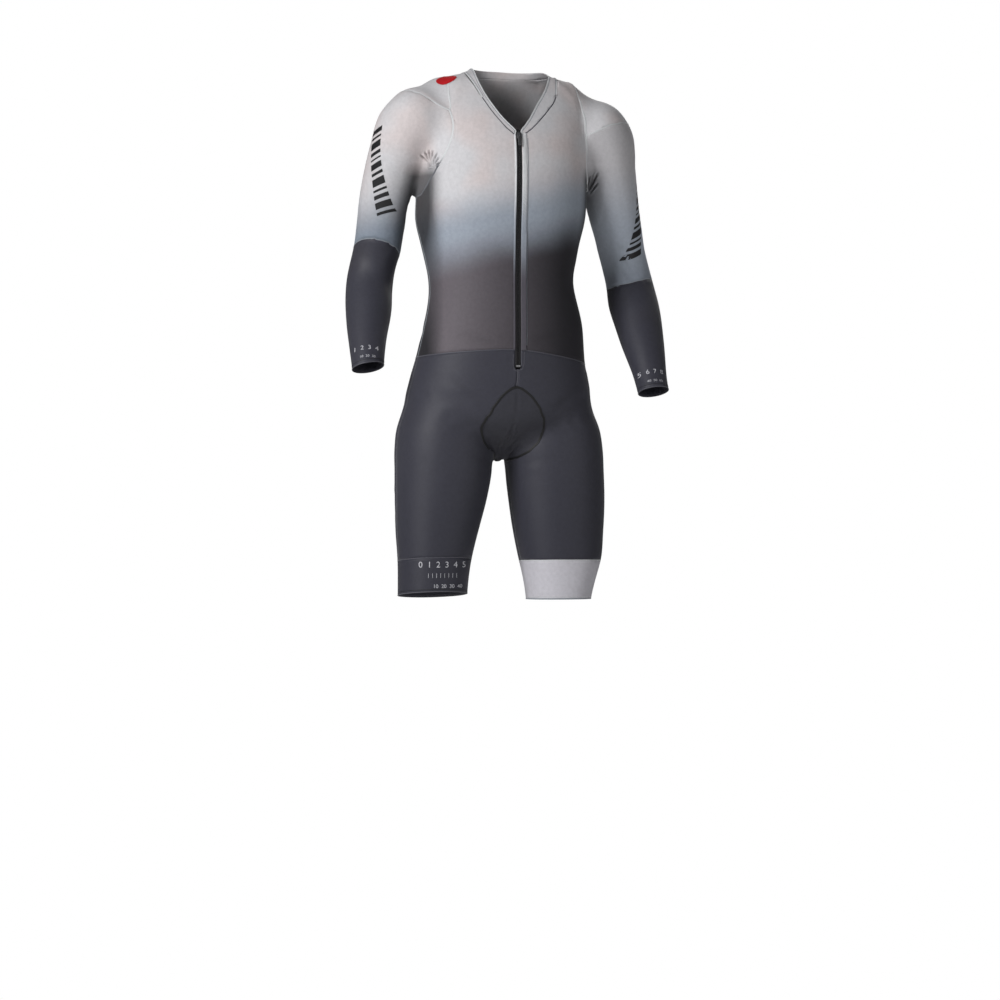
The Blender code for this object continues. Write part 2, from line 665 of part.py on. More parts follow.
front_grid = {}
for side, word in ((RIGHT, "right"), (LEFT, "left")):
    own = SEAM[side]
    grid = upright_panel(
        TORSO,
        45 * side,
        inner=own["zip"],
        outer=joined(own["armhole_front"], own["side"]),
        top=joined(own["neck_front"], own["shoulder"]),
        bottom=own["waist_front"],
    )
    front_grid[side] = cloth_panel(f"front_{word}", grid, SILVER_CLOTH)

    # The shoulder piece lies between the top of the armhole and the yoke seam, the sleeve below both.
    tip, end_ring, last_ring = YOKE_TIP[side], FOREARM_RING[side], RING[side][-1, 0]
    cap_turns = np.arange(-tip, tip + 1, 15)
    hole = armhole_ring(side, cap_turns)
    depth = (YOKE_DEPTH[side] - hole) * (1 - (cap_turns / tip) ** 2)
    share = np.linspace(0, 1, CAP_ROWS + 1)[:, None]
    grid = on_arm(side, hole + share * depth, cap_turns)
    grid[0], grid[-1] = opened_tip(grid[0], (0, -1)), opened_tip(grid[-1], (0, -1))
    for end in (0, -1):
        grid[:, end] = along(grid[0, end], grid[-1, end], CAP_ROWS)
    cloth_panel(f"shoulder_{word}", grid, SILVER_CLOTH)

    turns = ARM_TURNS[:-1]
    hole = armhole_ring(side, turns)
    start = hole + (YOKE_DEPTH[side] - hole) * np.clip(1 - (((turns + 180) % 360 - 180) / tip) ** 2, 0, None)
    share = np.linspace(0, 1, SLEEVE_ROWS + 1)[:, None]
    grid = on_arm(side, start + share * (end_ring - start), turns)
    cloth_panel(f"sleeve_{word}", grid, SILVER_CLOTH, closed=True)
    share = np.linspace(0, 1, FOREARM_ROWS + 1)[:, None]
    grid = on_arm(side, end_ring + share * (last_ring - end_ring), turns)
    cloth_panel(f"forearm_{word}", grid, DARK_CLOTH, closed=True)

    grid = upright_panel(
        LEG[side],
        0,
        inner=joined(own["centre_front"], own["pad_front"], own["inseam"]),
        outer=own["outseam"],
        top=own["waist_front"],
        bottom=own["band_front"],
    )
    cloth_panel(f"shorts_front_{word}", grid, DARK_CLOTH)
    grid = upright_panel(
        LEG[side],
        180,
        inner=joined(own["centre_back"], own["pad_back"][::-1], own["inseam"]),
        outer=own["outseam"],
        top=own["waist_back"],
        bottom=own["band_back"],
    )
    cloth_panel(f"shorts_back_{word}", grid, DARK_CLOTH)

    band_z, band_rise, hem_z, hem_rise = LEG_BAND[side]
    turns = -side * joined(FRONT_LEG_TURNS, BACK_LEG_TURNS[::-1] - 360)[:-1]
    share = np.linspace(0, 1, BAND_ROWS + 1)[:, None]
    grid = leg_ring(side, turns, band_z + share * (hem_z - band_z), band_rise + share * (hem_rise - band_rise))
    cloth_panel(f"leg_band_{word}", grid, DARK_CLOTH if side == RIGHT else SILVER_BAND, closed=True)

right, left = SEAM[RIGHT], SEAM[LEFT]
grid = level_panel(
    1,
    inner=joined(right["armhole_back"], right["side"]),
    outer=joined(left["armhole_back"], left["side"]),
    top=joined(right["shoulder"][::-1], right["neck_back"], left["neck_back"][::-1], left["shoulder"]),
    bottom=joined(right["waist_back"][::-1], left["waist_back"]),
)
cloth_panel("back", grid, SILVER_CLOTH)

# The padded insert turns round a level core between the legs.
pad_sides = []
for side in (RIGHT, LEFT):
    edge = joined(SEAM[side]["pad_front"], SEAM[side]["pad_back"])
    pad_sides.append(opened_tip(edge, (0, -1)))
ends = [along(pad_sides[0][end], pad_sides[1][end], PAD_COLUMNS) for end in (0, -1)]
views = []
for chain in (*pad_sides, *ends):
    down, back = PAD_CORE_Z - chain[:, 2], chain[:, 1] - PAD_CORE_Y
    turn_down = (np.degrees(np.arctan2(down, -back)) + 90) % 360 - 90
    views.append(np.stack([turn_down, chain[:, 0], np.hypot(down, back)], axis=-1))
view = spread(*views)
grid = settled(pad_core(view[..., 1]) + view[..., 2:] * pad_turned(view[..., 0]))
grid = with_sides(grid, *pad_sides, *ends)
cloth_panel("seat_pad", grid, DARK_CLOTH, margin=PAD_MARGIN)

# The collar runs from the zip round the back of the neck to the zip again.
rims = []
for column, down in ((0, 0), (1, -1)):
    chains = []
    for side in (RIGHT, LEFT):
        front = neck_point(side * NECK_TURNS, column)
        front[0] = SEAM[side]["zip_collar"][down]
        chains.append(joined(front, neck_point(side * BACK_NECK_TURNS, column)))
    rims.append(joined(chains[0], chains[1][::-1]))
grid = settled(along(rims[0], rims[1], 2))
grid[0], grid[-1] = rims
cloth_panel("collar_band", grid, SILVER_CLOTH)

# The zip: a tape on each side of the slit, a binding over each front's edge, then the hard pieces.
for side, word in ((RIGHT, "right"), (LEFT, "left")):
    own = SEAM[side]
    outer = joined(own["zip_collar"], own["zip"], own["zip_shorts"])
    grid = np.stack([outer * (0, 1, 1), outer], axis=1)
    cloth_panel(f"zip_tape_{word}", grid, BLACK_TAPE)
    edge, next_line = front_grid[side][:, 0], front_grid[side][:, 1]
    step = np.linalg.norm(next_line - edge, axis=-1, keepdims=True)
    grid = np.stack([edge + (next_line - edge) * reach / step for reach in BINDING[side]], axis=1)
    out = outward(grid)
    walled(f"zip_binding_{word}", grid + BINDING_TOP * out, grid + BINDING_FOOT * out, False, SILVER_CLOTH)


def placed(name, mesh, place, material):
    mesh.materials.append(material)
    piece = bpy.data.objects.new(name, mesh)
    piece.matrix_world = place
    bpy.context.scene.collection.objects.link(piece)
    return piece


def block(name, size, middle, place, material, edge=0.0004):
    """A box with rounded edges, at a middle point given along the tape's own directions."""
    shape = bmesh.new()
    bmesh.ops.create_cube(shape, size=1.0, matrix=Matrix.Translation(middle) @ Matrix.Diagonal((*size, 1)))
    bmesh.ops.bevel(
        shape, geom=shape.edges[:], offset=edge, affect="EDGES", segments=2, profile=0.5, material=-1
    )
    mesh = bpy.data.meshes.new(name)
    shape.to_mesh(mesh)
    shape.free()
    return placed(name, mesh, place, material)


def combined(piece, other, operation):
    """Joins another body to a piece, or cuts it away, and hides the other body."""
    step = piece.modifiers.new(other.name, "BOOLEAN")
    step.operation, step.solver, step.object = operation, "EXACT", other
    other.hide_render = True
    other.display_type = "WIRE"


def on_tape(z):
    """A place on the middle of the zip: X across it, Y into the cloth and Z up along it."""
    point = middle_line(0.0, z, -1)
    inward = -outward(point)
    across = np.array([1.0, 0.0, 0.0])
    up = np.cross(across, inward)
    place = Matrix([(*across, 0), (*inward, 0), (*up, 0), (0, 0, 0, 1)]).transposed()
    place.translation = point
    return place


place = on_tape(SLIDER_Z)
slider = block("zip_slider", (0.0088, 0.0026, 0.0110), (0, -0.0021, 0), place, METAL)
arch = bmesh.new()
bmesh.ops.create_circle(arch, segments=8, radius=ARCH_WIRE)
bmesh.ops.rotate(arch, verts=arch.verts, matrix=Matrix.Rotation(math.radians(90), 3, "X"))
bmesh.ops.translate(arch, verts=arch.verts, vec=(0, ARCH_Y, ARCH_RADIUS))
bmesh.ops.spin(
    arch, geom=arch.edges[:], cent=(0, ARCH_Y, 0), axis=(1, 0, 0), angle=math.pi, steps=10, use_duplicate=False
)
bmesh.ops.holes_fill(arch, edges=arch.edges, sides=0)
bmesh.ops.recalc_face_normals(arch, faces=arch.faces)
mesh = bpy.data.meshes.new("slider_arch")
arch.to_mesh(mesh)
arch.free()
combined(slider, placed("slider_arch", mesh, place, METAL), "UNION")

# The pull hangs from the arch by its top bar, and its origin is that bar's axis.
hinge = place @ Matrix.Translation((0, PULL_AXIS_Y, 0))
pull = block("zip_pull", (0.0060, 0.0012, 0.0196), (0, 0, -0.0092), hinge, METAL)
combined(pull, block("pull_eye", (0.0032, 0.0040, 0.0054), (0, 0, -0.0033), hinge, METAL), "DIFFERENCE")

stop_place = on_tape(ZIP_END_Z + 0.004)
block("zip_stop", (0.0086, 0.0018, 0.0036), (0, -0.0015, 0), stop_place, METAL)
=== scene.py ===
import json
import math

import bmesh
import bpy
import numpy as np
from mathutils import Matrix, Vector
from mathutils.bvhtree import BVHTree

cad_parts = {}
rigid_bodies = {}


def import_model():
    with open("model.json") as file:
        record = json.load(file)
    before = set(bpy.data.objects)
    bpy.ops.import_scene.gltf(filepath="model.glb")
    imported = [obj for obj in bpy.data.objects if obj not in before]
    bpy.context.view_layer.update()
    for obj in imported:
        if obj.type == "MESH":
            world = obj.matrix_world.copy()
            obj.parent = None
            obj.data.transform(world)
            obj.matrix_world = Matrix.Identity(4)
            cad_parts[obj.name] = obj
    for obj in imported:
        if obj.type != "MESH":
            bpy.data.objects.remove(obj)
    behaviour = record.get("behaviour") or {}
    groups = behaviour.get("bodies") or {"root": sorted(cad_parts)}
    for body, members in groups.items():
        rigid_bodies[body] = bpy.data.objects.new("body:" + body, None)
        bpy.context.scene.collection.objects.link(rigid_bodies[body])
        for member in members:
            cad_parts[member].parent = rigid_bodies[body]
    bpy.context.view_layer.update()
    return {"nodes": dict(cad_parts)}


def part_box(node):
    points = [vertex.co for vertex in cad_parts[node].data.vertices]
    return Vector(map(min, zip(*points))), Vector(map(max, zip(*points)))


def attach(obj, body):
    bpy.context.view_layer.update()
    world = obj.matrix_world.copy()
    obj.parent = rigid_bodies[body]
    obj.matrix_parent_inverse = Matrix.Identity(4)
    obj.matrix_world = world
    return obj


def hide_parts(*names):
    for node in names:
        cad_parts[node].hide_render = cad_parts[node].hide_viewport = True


for leftover in list(bpy.data.objects):
    bpy.data.objects.remove(leftover)
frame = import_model()

# The sewn skin
# A skinsuit is thin stretch knit, cut in panels and sewn edge to edge, and worn it is one tight skin.
# The outer walls of the panels' solids are joined along their seams and rounded as one surface.

PANEL_NAMES = (
    "back", "collar_band", "front_right", "front_left", "shoulder_right", "shoulder_left",
    "sleeve_right", "sleeve_left", "forearm_right", "forearm_left", "shorts_front_right",
    "shorts_front_left", "shorts_back_right", "shorts_back_left", "seat_pad",
    "leg_band_right", "leg_band_left",
)
SAME_POINT = 0.00001
WELD_REACHES = (0.0009, 0.0018, 0.0028)
RIM_WIDTH = 0.0019
QUAD_FACE_ANGLE = math.radians(60)
QUAD_SHAPE_ANGLE = math.radians(70)
ROUNDING_LEVELS = 2
FITTING_ROUNDS = 3


def is_rim(face):
    """Whether a face is a thin one of the kind that closes a panel's edge."""
    return 2 * face.calc_area() < RIM_WIDTH * max(edge.calc_length() for edge in face.edges)


def outer_wall(node):
    """The outer side of one panel's solid, without its inner side and its rims."""
    wall = bmesh.new()
    wall.from_mesh(node.data)
    bmesh.ops.remove_doubles(wall, verts=wall.verts, dist=SAME_POINT)
    middle = sum((v.co for v in wall.verts), Vector()) / len(wall.verts)
    rims = {face for face in wall.faces if is_rim(face)}
    waiting = set(wall.faces) - rims
    outer, most = set(), 0.0
    for first in wall.faces[:]:
        if first not in waiting:
            continue
        waiting.remove(first)
        side, outwardness = [first], 0.0
        for face in side:
            outwardness += face.calc_area() * face.normal.dot(face.calc_center_median() - middle)
            for other in {f for edge in face.edges for f in edge.link_faces} & waiting:
                waiting.remove(other)
                side.append(other)
        if outwardness > most:
            outer, most = set(side), outwardness
    for face in rims:
        if sum(f in outer for edge in face.edges for f in edge.link_faces) > 1:
            outer.add(face)
    bmesh.ops.delete(wall, geom=[f for f in wall.faces if f not in outer], context="FACES")
    return wall


def points_of(mesh):
    """A mesh's points as rows of x, y, z."""
    flat = np.empty(len(mesh.vertices) * 3)
    mesh.vertices.foreach_get("co", flat)
    return flat.reshape(-1, 3)


def rounded(mesh, levels):
    """The mesh rounded by subdivision, with its open edges and their corners kept."""
    shape = bpy.data.objects.new("rounding", mesh)
    bpy.context.scene.collection.objects.link(shape)
    rounding = shape.modifiers.new("Rounding", "SUBSURF")
    rounding.levels = levels
    rounding.render_levels = levels
    rounding.boundary_smooth = "PRESERVE_CORNERS"
    graph = bpy.context.evaluated_depsgraph_get()
    result = bpy.data.meshes.new_from_object(shape.evaluated_get(graph))
    bpy.data.objects.remove(shape)
    return result


joined = bmesh.new()
for index, name in enumerate(PANEL_NAMES):
    wall = outer_wall(frame["nodes"][name])
    for face in wall.faces:
        face.material_index = index
        face.smooth = True
    panel_mesh = bpy.data.meshes.new(name)
    wall.to_mesh(panel_mesh)
    wall.free()
    joined.from_mesh(panel_mesh)
    bpy.data.meshes.remove(panel_mesh)
for reach in WELD_REACHES:
    open_rims = [v for v in joined.verts if v.is_boundary]
    bmesh.ops.remove_doubles(joined, verts=open_rims, dist=reach)
bmesh.ops.join_triangles(
    joined,
    faces=joined.faces,
    cmp_materials=True,
    angle_face_threshold=QUAD_FACE_ANGLE,
    angle_shape_threshold=QUAD_SHAPE_ANGLE,
)
control = bpy.data.meshes.new("skin_control")
joined.to_mesh(control)
joined.free()
wanted = points_of(control)
for _ in range(FITTING_ROUNDS):
    trial = rounded(control, 1)
    fitted = points_of(control) + wanted - points_of(trial)[: len(wanted)]
    control.vertices.foreach_set("co", fitted.ravel())
    bpy.data.meshes.remove(trial)
smooth_skin = rounded(control, ROUNDING_LEVELS)
bpy.data.meshes.remove(control)

# Creases of the stretched cloth
# Worn knit lies smooth and draws into sharp little fans at the armpits, folds at the crotch, and soft
# shallow troughs at the elbows, shoulder blades, waist, seat and thighs. Each is listed and pressed into
# the skin.

FINE_PLACES = (
    # x, y, z, radius
    (-0.148, -0.036, -0.163, 0.034),
    (-0.150, 0.052, -0.165, 0.034),
    (0.168, -0.008, -0.192, 0.032),
    (0.168, 0.060, -0.190, 0.032),
    (0.004, -0.020, -0.680, 0.062),
)
FINE_CUTS = 3
CREASES = (
    # start x, y, z, end x, y, z, width, depth
    (-0.1490, -0.0296, -0.1756, -0.1650, -0.0270, -0.1520, 0.0016, 0.0038),
    (-0.1490, -0.0310, -0.1750, -0.1576, -0.0310, -0.1470, 0.0016, 0.0045),
    (-0.1480, -0.0330, -0.1745, -0.1505, -0.0353, -0.1440, 0.0016, 0.0054),
    (-0.1470, -0.0350, -0.1740, -0.1445, -0.0405, -0.1455, 0.0016, 0.0054),
    (-0.1455, -0.0380, -0.1745, -0.1385, -0.0485, -0.1500, 0.0016, 0.0052),
    (-0.1440, -0.0400, -0.1755, -0.1345, -0.0520, -0.1590, 0.0013, 0.0041),
    (-0.1430, -0.0420, -0.1765, -0.1320, -0.0545, -0.1680, 0.0013, 0.0034),
    (0.1645, 0.0060, -0.2060, 0.1740, -0.0235, -0.1720, 0.0017, 0.0052),
    (0.1630, 0.0050, -0.2030, 0.1665, -0.0150, -0.1800, 0.0016, 0.0041),
    (0.1665, 0.0070, -0.2090, 0.1775, -0.0130, -0.1900, 0.0016, 0.0038),
    (0.1610, 0.0040, -0.1990, 0.1600, -0.0130, -0.1790, 0.0016, 0.0031),
    (-0.1500, 0.0400, -0.1780, -0.1640, 0.0550, -0.1540, 0.0015, 0.0030),
    (-0.1490, 0.0420, -0.1780, -0.1540, 0.0620, -0.1490, 0.0015, 0.0035),
    (-0.1470, 0.0440, -0.1785, -0.1440, 0.0660, -0.1530, 0.0015, 0.0033),
    (-0.1450, 0.0450, -0.1800, -0.1350, 0.0640, -0.1640, 0.0014, 0.0025),
    (0.1640, 0.0500, -0.2050, 0.1760, 0.0680, -0.1810, 0.0016, 0.0033),
    (0.1630, 0.0510, -0.2060, 0.1650, 0.0740, -0.1810, 0.0015, 0.0033),
    (0.1610, 0.0520, -0.2070, 0.1550, 0.0720, -0.1900, 0.0014, 0.0025),
    (0.0004, -0.0880, -0.5830, -0.0030, -0.0660, -0.6480, 0.0030, 0.0007),
    (-0.0030, -0.0700, -0.6430, -0.0040, 0.0010, -0.6850, 0.0028, 0.0014),
    (0.0170, -0.0400, -0.6600, 0.0040, 0.0080, -0.6890, 0.0022, 0.0013),
    (0.0230, -0.0240, -0.6720, 0.0110, 0.0160, -0.6960, 0.0018, 0.0010),
    (0.0090, -0.0560, -0.6500, -0.0010, -0.0120, -0.6780, 0.0018, 0.0008),
    (-0.0160, -0.0330, -0.6640, -0.0080, 0.0120, -0.6900, 0.0018, 0.0008),
    (-0.0020, 0.0200, -0.6950, 0.0000, 0.0900, -0.6850, 0.0030, 0.0008),
    (-0.0700, 0.0120, -0.7080, -0.0900, -0.0500, -0.6900, 0.0070, 0.0005),
    (0.0650, 0.0120, -0.7080, 0.0900, -0.0500, -0.6900, 0.0070, 0.0004),
    (-0.0600, 0.1450, -0.6900, -0.1300, 0.1250, -0.7150, 0.0080, 0.0012),
    (0.0600, 0.1450, -0.6900, 0.1300, 0.1250, -0.7150, 0.0080, 0.0012),
    (-0.0450, 0.1250, -0.7300, -0.1000, 0.1150, -0.7350, 0.0055, 0.0009),
    (0.0450, 0.1250, -0.7300, 0.1000, 0.1150, -0.7350, 0.0055, 0.0009),
    (-0.0900, 0.0780, -0.8450, -0.1550, 0.0720, -0.8350, 0.0060, 0.0008),
    (0.0750, 0.0850, -0.8500, 0.1400, 0.0800, -0.8400, 0.0060, 0.0008),
    (-0.1750, -0.0100, -0.2960, -0.2080, 0.0020, -0.3080, 0.0040, 0.0010),
    (-0.1740, 0.0100, -0.3080, -0.2040, 0.0140, -0.3240, 0.0040, 0.0009),
    (-0.1800, 0.0300, -0.3200, -0.2080, 0.0260, -0.3380, 0.0050, 0.0007),
    (0.2180, 0.0020, -0.3180, 0.2540, -0.0180, -0.3260, 0.0045, 0.0010),
    (0.2190, 0.0040, -0.3360, 0.2520, -0.0140, -0.3440, 0.0045, 0.0009),
    (0.2260, 0.0100, -0.3500, 0.2560, -0.0080, -0.3600, 0.0050, 0.0007),
    (-0.2100, 0.1400, -0.3150, -0.2450, 0.1200, -0.2950, 0.0060, 0.0008),
    (0.2700, 0.1050, -0.3450, 0.3000, 0.0900, -0.3300, 0.0060, 0.0008),
    (-0.1450, 0.0300, -0.4700, -0.0900, 0.0900, -0.4900, 0.0090, 0.0010),
    (0.1450, 0.0300, -0.4700, 0.0900, 0.0900, -0.4900, 0.0090, 0.0010),
    (-0.1000, 0.0900, -0.4450, -0.0300, 0.1150, -0.4600, 0.0100, 0.0010),
    (0.1000, 0.0900, -0.4450, 0.0350, 0.1150, -0.4600, 0.0100, 0.0010),
    (-0.0950, 0.1150, -0.1000, -0.0700, 0.1250, -0.1800, 0.0110, 0.0008),
    (0.0980, 0.1150, -0.1050, 0.0740, 0.1250, -0.1850, 0.0110, 0.0008),
    (-0.0950, -0.0300, -0.5600, -0.0500, -0.0800, -0.6100, 0.0070, 0.0006),
    (0.1100, -0.0300, -0.5650, 0.0680, -0.0750, -0.6150, 0.0070, 0.0006),
    (-0.0500, -0.0850, -0.4900, -0.1100, -0.0560, -0.4780, 0.0080, 0.0007),
    (0.0350, -0.0900, -0.4850, 0.1080, -0.0620, -0.4700, 0.0080, 0.0007),
)
CREASE_POINTS = 9
SHORTEST_RUN_SQUARED = 1e-12
# A trough is felt this many of its widths away, with a low ridge beside it at the second distance.
CREASE_REACH = 4
RIDGE_AWAY = 2.1
RIDGE_SHARE = 0.35
# A crease starts part of the way into its swell and fades out at its end.
START_SHARE = 0.16
FADING_POWER = 0.8
# The depth at which a fold counts as full, and its painted shade is darkest.
FOLD_SHADE_FULL = 0.0042

cloth = bmesh.new()
cloth.from_mesh(smooth_skin)
bpy.data.meshes.remove(smooth_skin)
fine_faces = set()
for x, y, z, radius in FINE_PLACES:
    place = Vector((x, y, z))
    fine_faces.update(f for f in cloth.faces if (f.calc_center_median() - place).length < radius)
fine_edges = sorted({e for f in fine_faces for e in f.edges}, key=lambda e: e.index)
bmesh.ops.subdivide_edges(cloth, edges=fine_edges, cuts=FINE_CUTS, use_grid_fill=True)
cloth.normal_update()

skin_tree = BVHTree.FromBMesh(cloth)
cloth_points = np.array([v.co for v in cloth.verts])
pressed = np.zeros(len(cloth_points))
for crease in CREASES:
    start, end = Vector(crease[:3]), Vector(crease[3:6])
    width, depth = crease[6:]
    path = np.array([
        skin_tree.find_nearest(start.lerp(end, step / (CREASE_POINTS - 1)))[0]
        for step in range(CREASE_POINTS)
    ])
    low = path.min(0) - CREASE_REACH * width
    high = path.max(0) + CREASE_REACH * width
    near = np.nonzero(((cloth_points > low) & (cloth_points < high)).all(1))[0]
    away = np.full(len(near), np.inf)
    along = np.zeros(len(near))
    for step in range(CREASE_POINTS - 1):
        run = path[step + 1] - path[step]
        offset = cloth_points[near] - path[step]
        share = np.clip(offset @ run / max(run @ run, SHORTEST_RUN_SQUARED), 0, 1)
        distance = np.linalg.norm(offset - share[:, None] * run, axis=1)
        closer = distance < away
        away[closer] = distance[closer]
        along[closer] = (step + share[closer]) / (CREASE_POINTS - 1)
    trough = np.exp(-((away / width) ** 2))
    ridge = np.exp(-(((away - RIDGE_AWAY * width) / width) ** 2))
    fading = np.sin(np.pi * np.clip(START_SHARE + (1 - START_SHARE) * along, 0, 1)) ** FADING_POWER
    pressed[near] += depth * fading * (RIDGE_SHARE * ridge - trough)
# Each vertex keeps how deep its crease is, which the cloth's colour reads as painted shade.
fold_shade_layer = cloth.verts.layers.float.new("fold")
for vertex, move in zip(cloth.verts, pressed):
    if move:
        vertex.co += vertex.normal * move
        vertex[fold_shade_layer] = min(1.0, max(0.0, -move / FOLD_SHADE_FULL))
cloth.normal_update()
skin_tree = BVHTree.FromBMesh(cloth)

# Cloth panels
# Warp knit of nylon and elastane, about 0.7 mm thick, printed before it is cut: silver on the chest,
# back and arms, clouded with pink and blue, that fades into charcoal at the waist and legs. The dark at the
# sides under the arms, the darker left front, the darker left sleeve and the darker folds are painted shade.

CLOTH_THICKNESS = 0.0007
CLOTH_SHEEN = 0.1
# A fold's colour is darkened by its depth as painted shade, to this share of its colour where the fold is
# full.
FOLD_SHADE_TONE = 0.38


def node_in(tree, kind, inputs=None, **settings):
    """A node with its settings. Each input named is given a value, or the output that is linked to it."""
    node = tree.nodes.new(kind)
    for key, value in settings.items():
        setattr(node, key, value)
    for key, value in (inputs or {}).items():
        if isinstance(value, bpy.types.NodeSocket):
            tree.links.new(value, node.inputs[key])
        else:
            node.inputs[key].default_value = value
    return node


def result_of(tree, operation, *values):
    """What a Math node makes of its values."""
    return node_in(tree, "ShaderNodeMath", dict(enumerate(values)), operation=operation).outputs[0]


def ramp(tree, value, start, end, low=0.0, high=1.0, kind="LINEAR"):
    """A value carried from start and end to low and high, and held beyond them."""
    return node_in(tree, "ShaderNodeMapRange", {
        "Value": value, "From Min": start, "From Max": end, "To Min": low, "To Max": high,
    }, interpolation_type=kind).outputs[0]


def blend(tree, factor, first, second, kind="RGBA", way="MIX"):
    """The first colour or value taken towards the second by a factor."""
    return node_in(tree, "ShaderNodeMix", {
        "Factor": factor, "A": first, "B": second,
    }, data_type=kind, blend_type=way).outputs["Result"]


def scaled(tree, tone, share):
    """A colour made lighter or darker by a share."""
    return node_in(tree, "ShaderNodeVectorMath", {0: tone, "Scale": share}, operation="SCALE").outputs[0]


def object_place(tree):
    """The place of a point in its piece's own coordinates."""
    return node_in(tree, "ShaderNodeTexCoord").outputs["Object"]


def new_material(name, finish):
    """A material, its node tree and its shader, with the shader's constant inputs given."""
    material = bpy.data.materials.new(name)
    material.use_nodes = True
    shader = material.node_tree.nodes["Principled BSDF"]
    for key, value in finish.items():
        shader.inputs[key].default_value = value
    return material, material.node_tree, shader


def add_relief(tree, shader, height, strength, distance=0.0002):
    """Small relief on a material, from a height."""
    bump = node_in(tree, "ShaderNodeBump", {"Height": height, "Strength": strength, "Distance": distance})
    tree.links.new(bump.outputs[0], shader.inputs["Normal"])


def new_group(name, inputs, outputs):
    """A shader node group. inputs lists (name, type, default), and outputs lists (name, type)."""
    group = bpy.data.node_groups.new(name, "ShaderNodeTree")
    for label, kind, default in inputs:
        socket = group.interface.new_socket(name=label, in_out="INPUT", socket_type="NodeSocket" + kind)
        if default is not None:
            socket.default_value = default
    for label, kind in outputs:
        group.interface.new_socket(name=label, in_out="OUTPUT", socket_type="NodeSocket" + kind)
    return group, group.nodes.new("NodeGroupInput").outputs, group.nodes.new("NodeGroupOutput").inputs


def colour(red, green, blue):
    """A colour given as it shows on a screen, from 0 to 255, for a shader."""
    shares = [value / 255 for value in (red, green, blue)]
    return tuple(s / 12.92 if s < 0.04045 else ((s + 0.055) / 1.055) ** 2.4 for s in shares) + (1.0,)


def knit_group():
    """Fine knit: small pebbled stitches in level courses, and a slight unevenness of the yarn."""
    group, given, out = new_group(
        "Fine knit",
        (("Vector", "Vector", None), ("Stitches", "Float", 1150.0)),
        (("Height", "Float"), ("Shade", "Float")),
    )
    stitches = node_in(group, "ShaderNodeTexVoronoi", {
        "Vector": given["Vector"], "Scale": given["Stitches"], "Randomness": 0.35,
    }).outputs["Distance"]
    courses = node_in(group, "ShaderNodeTexWave", {
        "Vector": given["Vector"], "Scale": 190.0, "Distortion": 0.6,
    }, bands_direction="Z").outputs["Fac"]
    yarn = node_in(group, "ShaderNodeTexNoise", {
        "Vector": given["Vector"], "Scale": 160.0, "Detail": 3.0, "Roughness": 0.6,
    }).outputs["Fac"]
    group.links.new(result_of(group, "MULTIPLY_ADD", stitches, -0.6, courses), out["Height"])
    group.links.new(ramp(group, yarn, 0.3, 0.7, 0.94, 1.06), out["Shade"])
    return group


# Painted shade under the arms, between the arms and the body, and its limits.
SIDE_SHADE = colour(24, 24, 29)
UNDERARM_SHADE_LIMITS = (
    # axis, where the painted shade under the arms starts, where it is full
    ("Y", -0.062, -0.036),
    ("Y", 0.105, 0.075),
    ("Z", -0.166, -0.190),
)


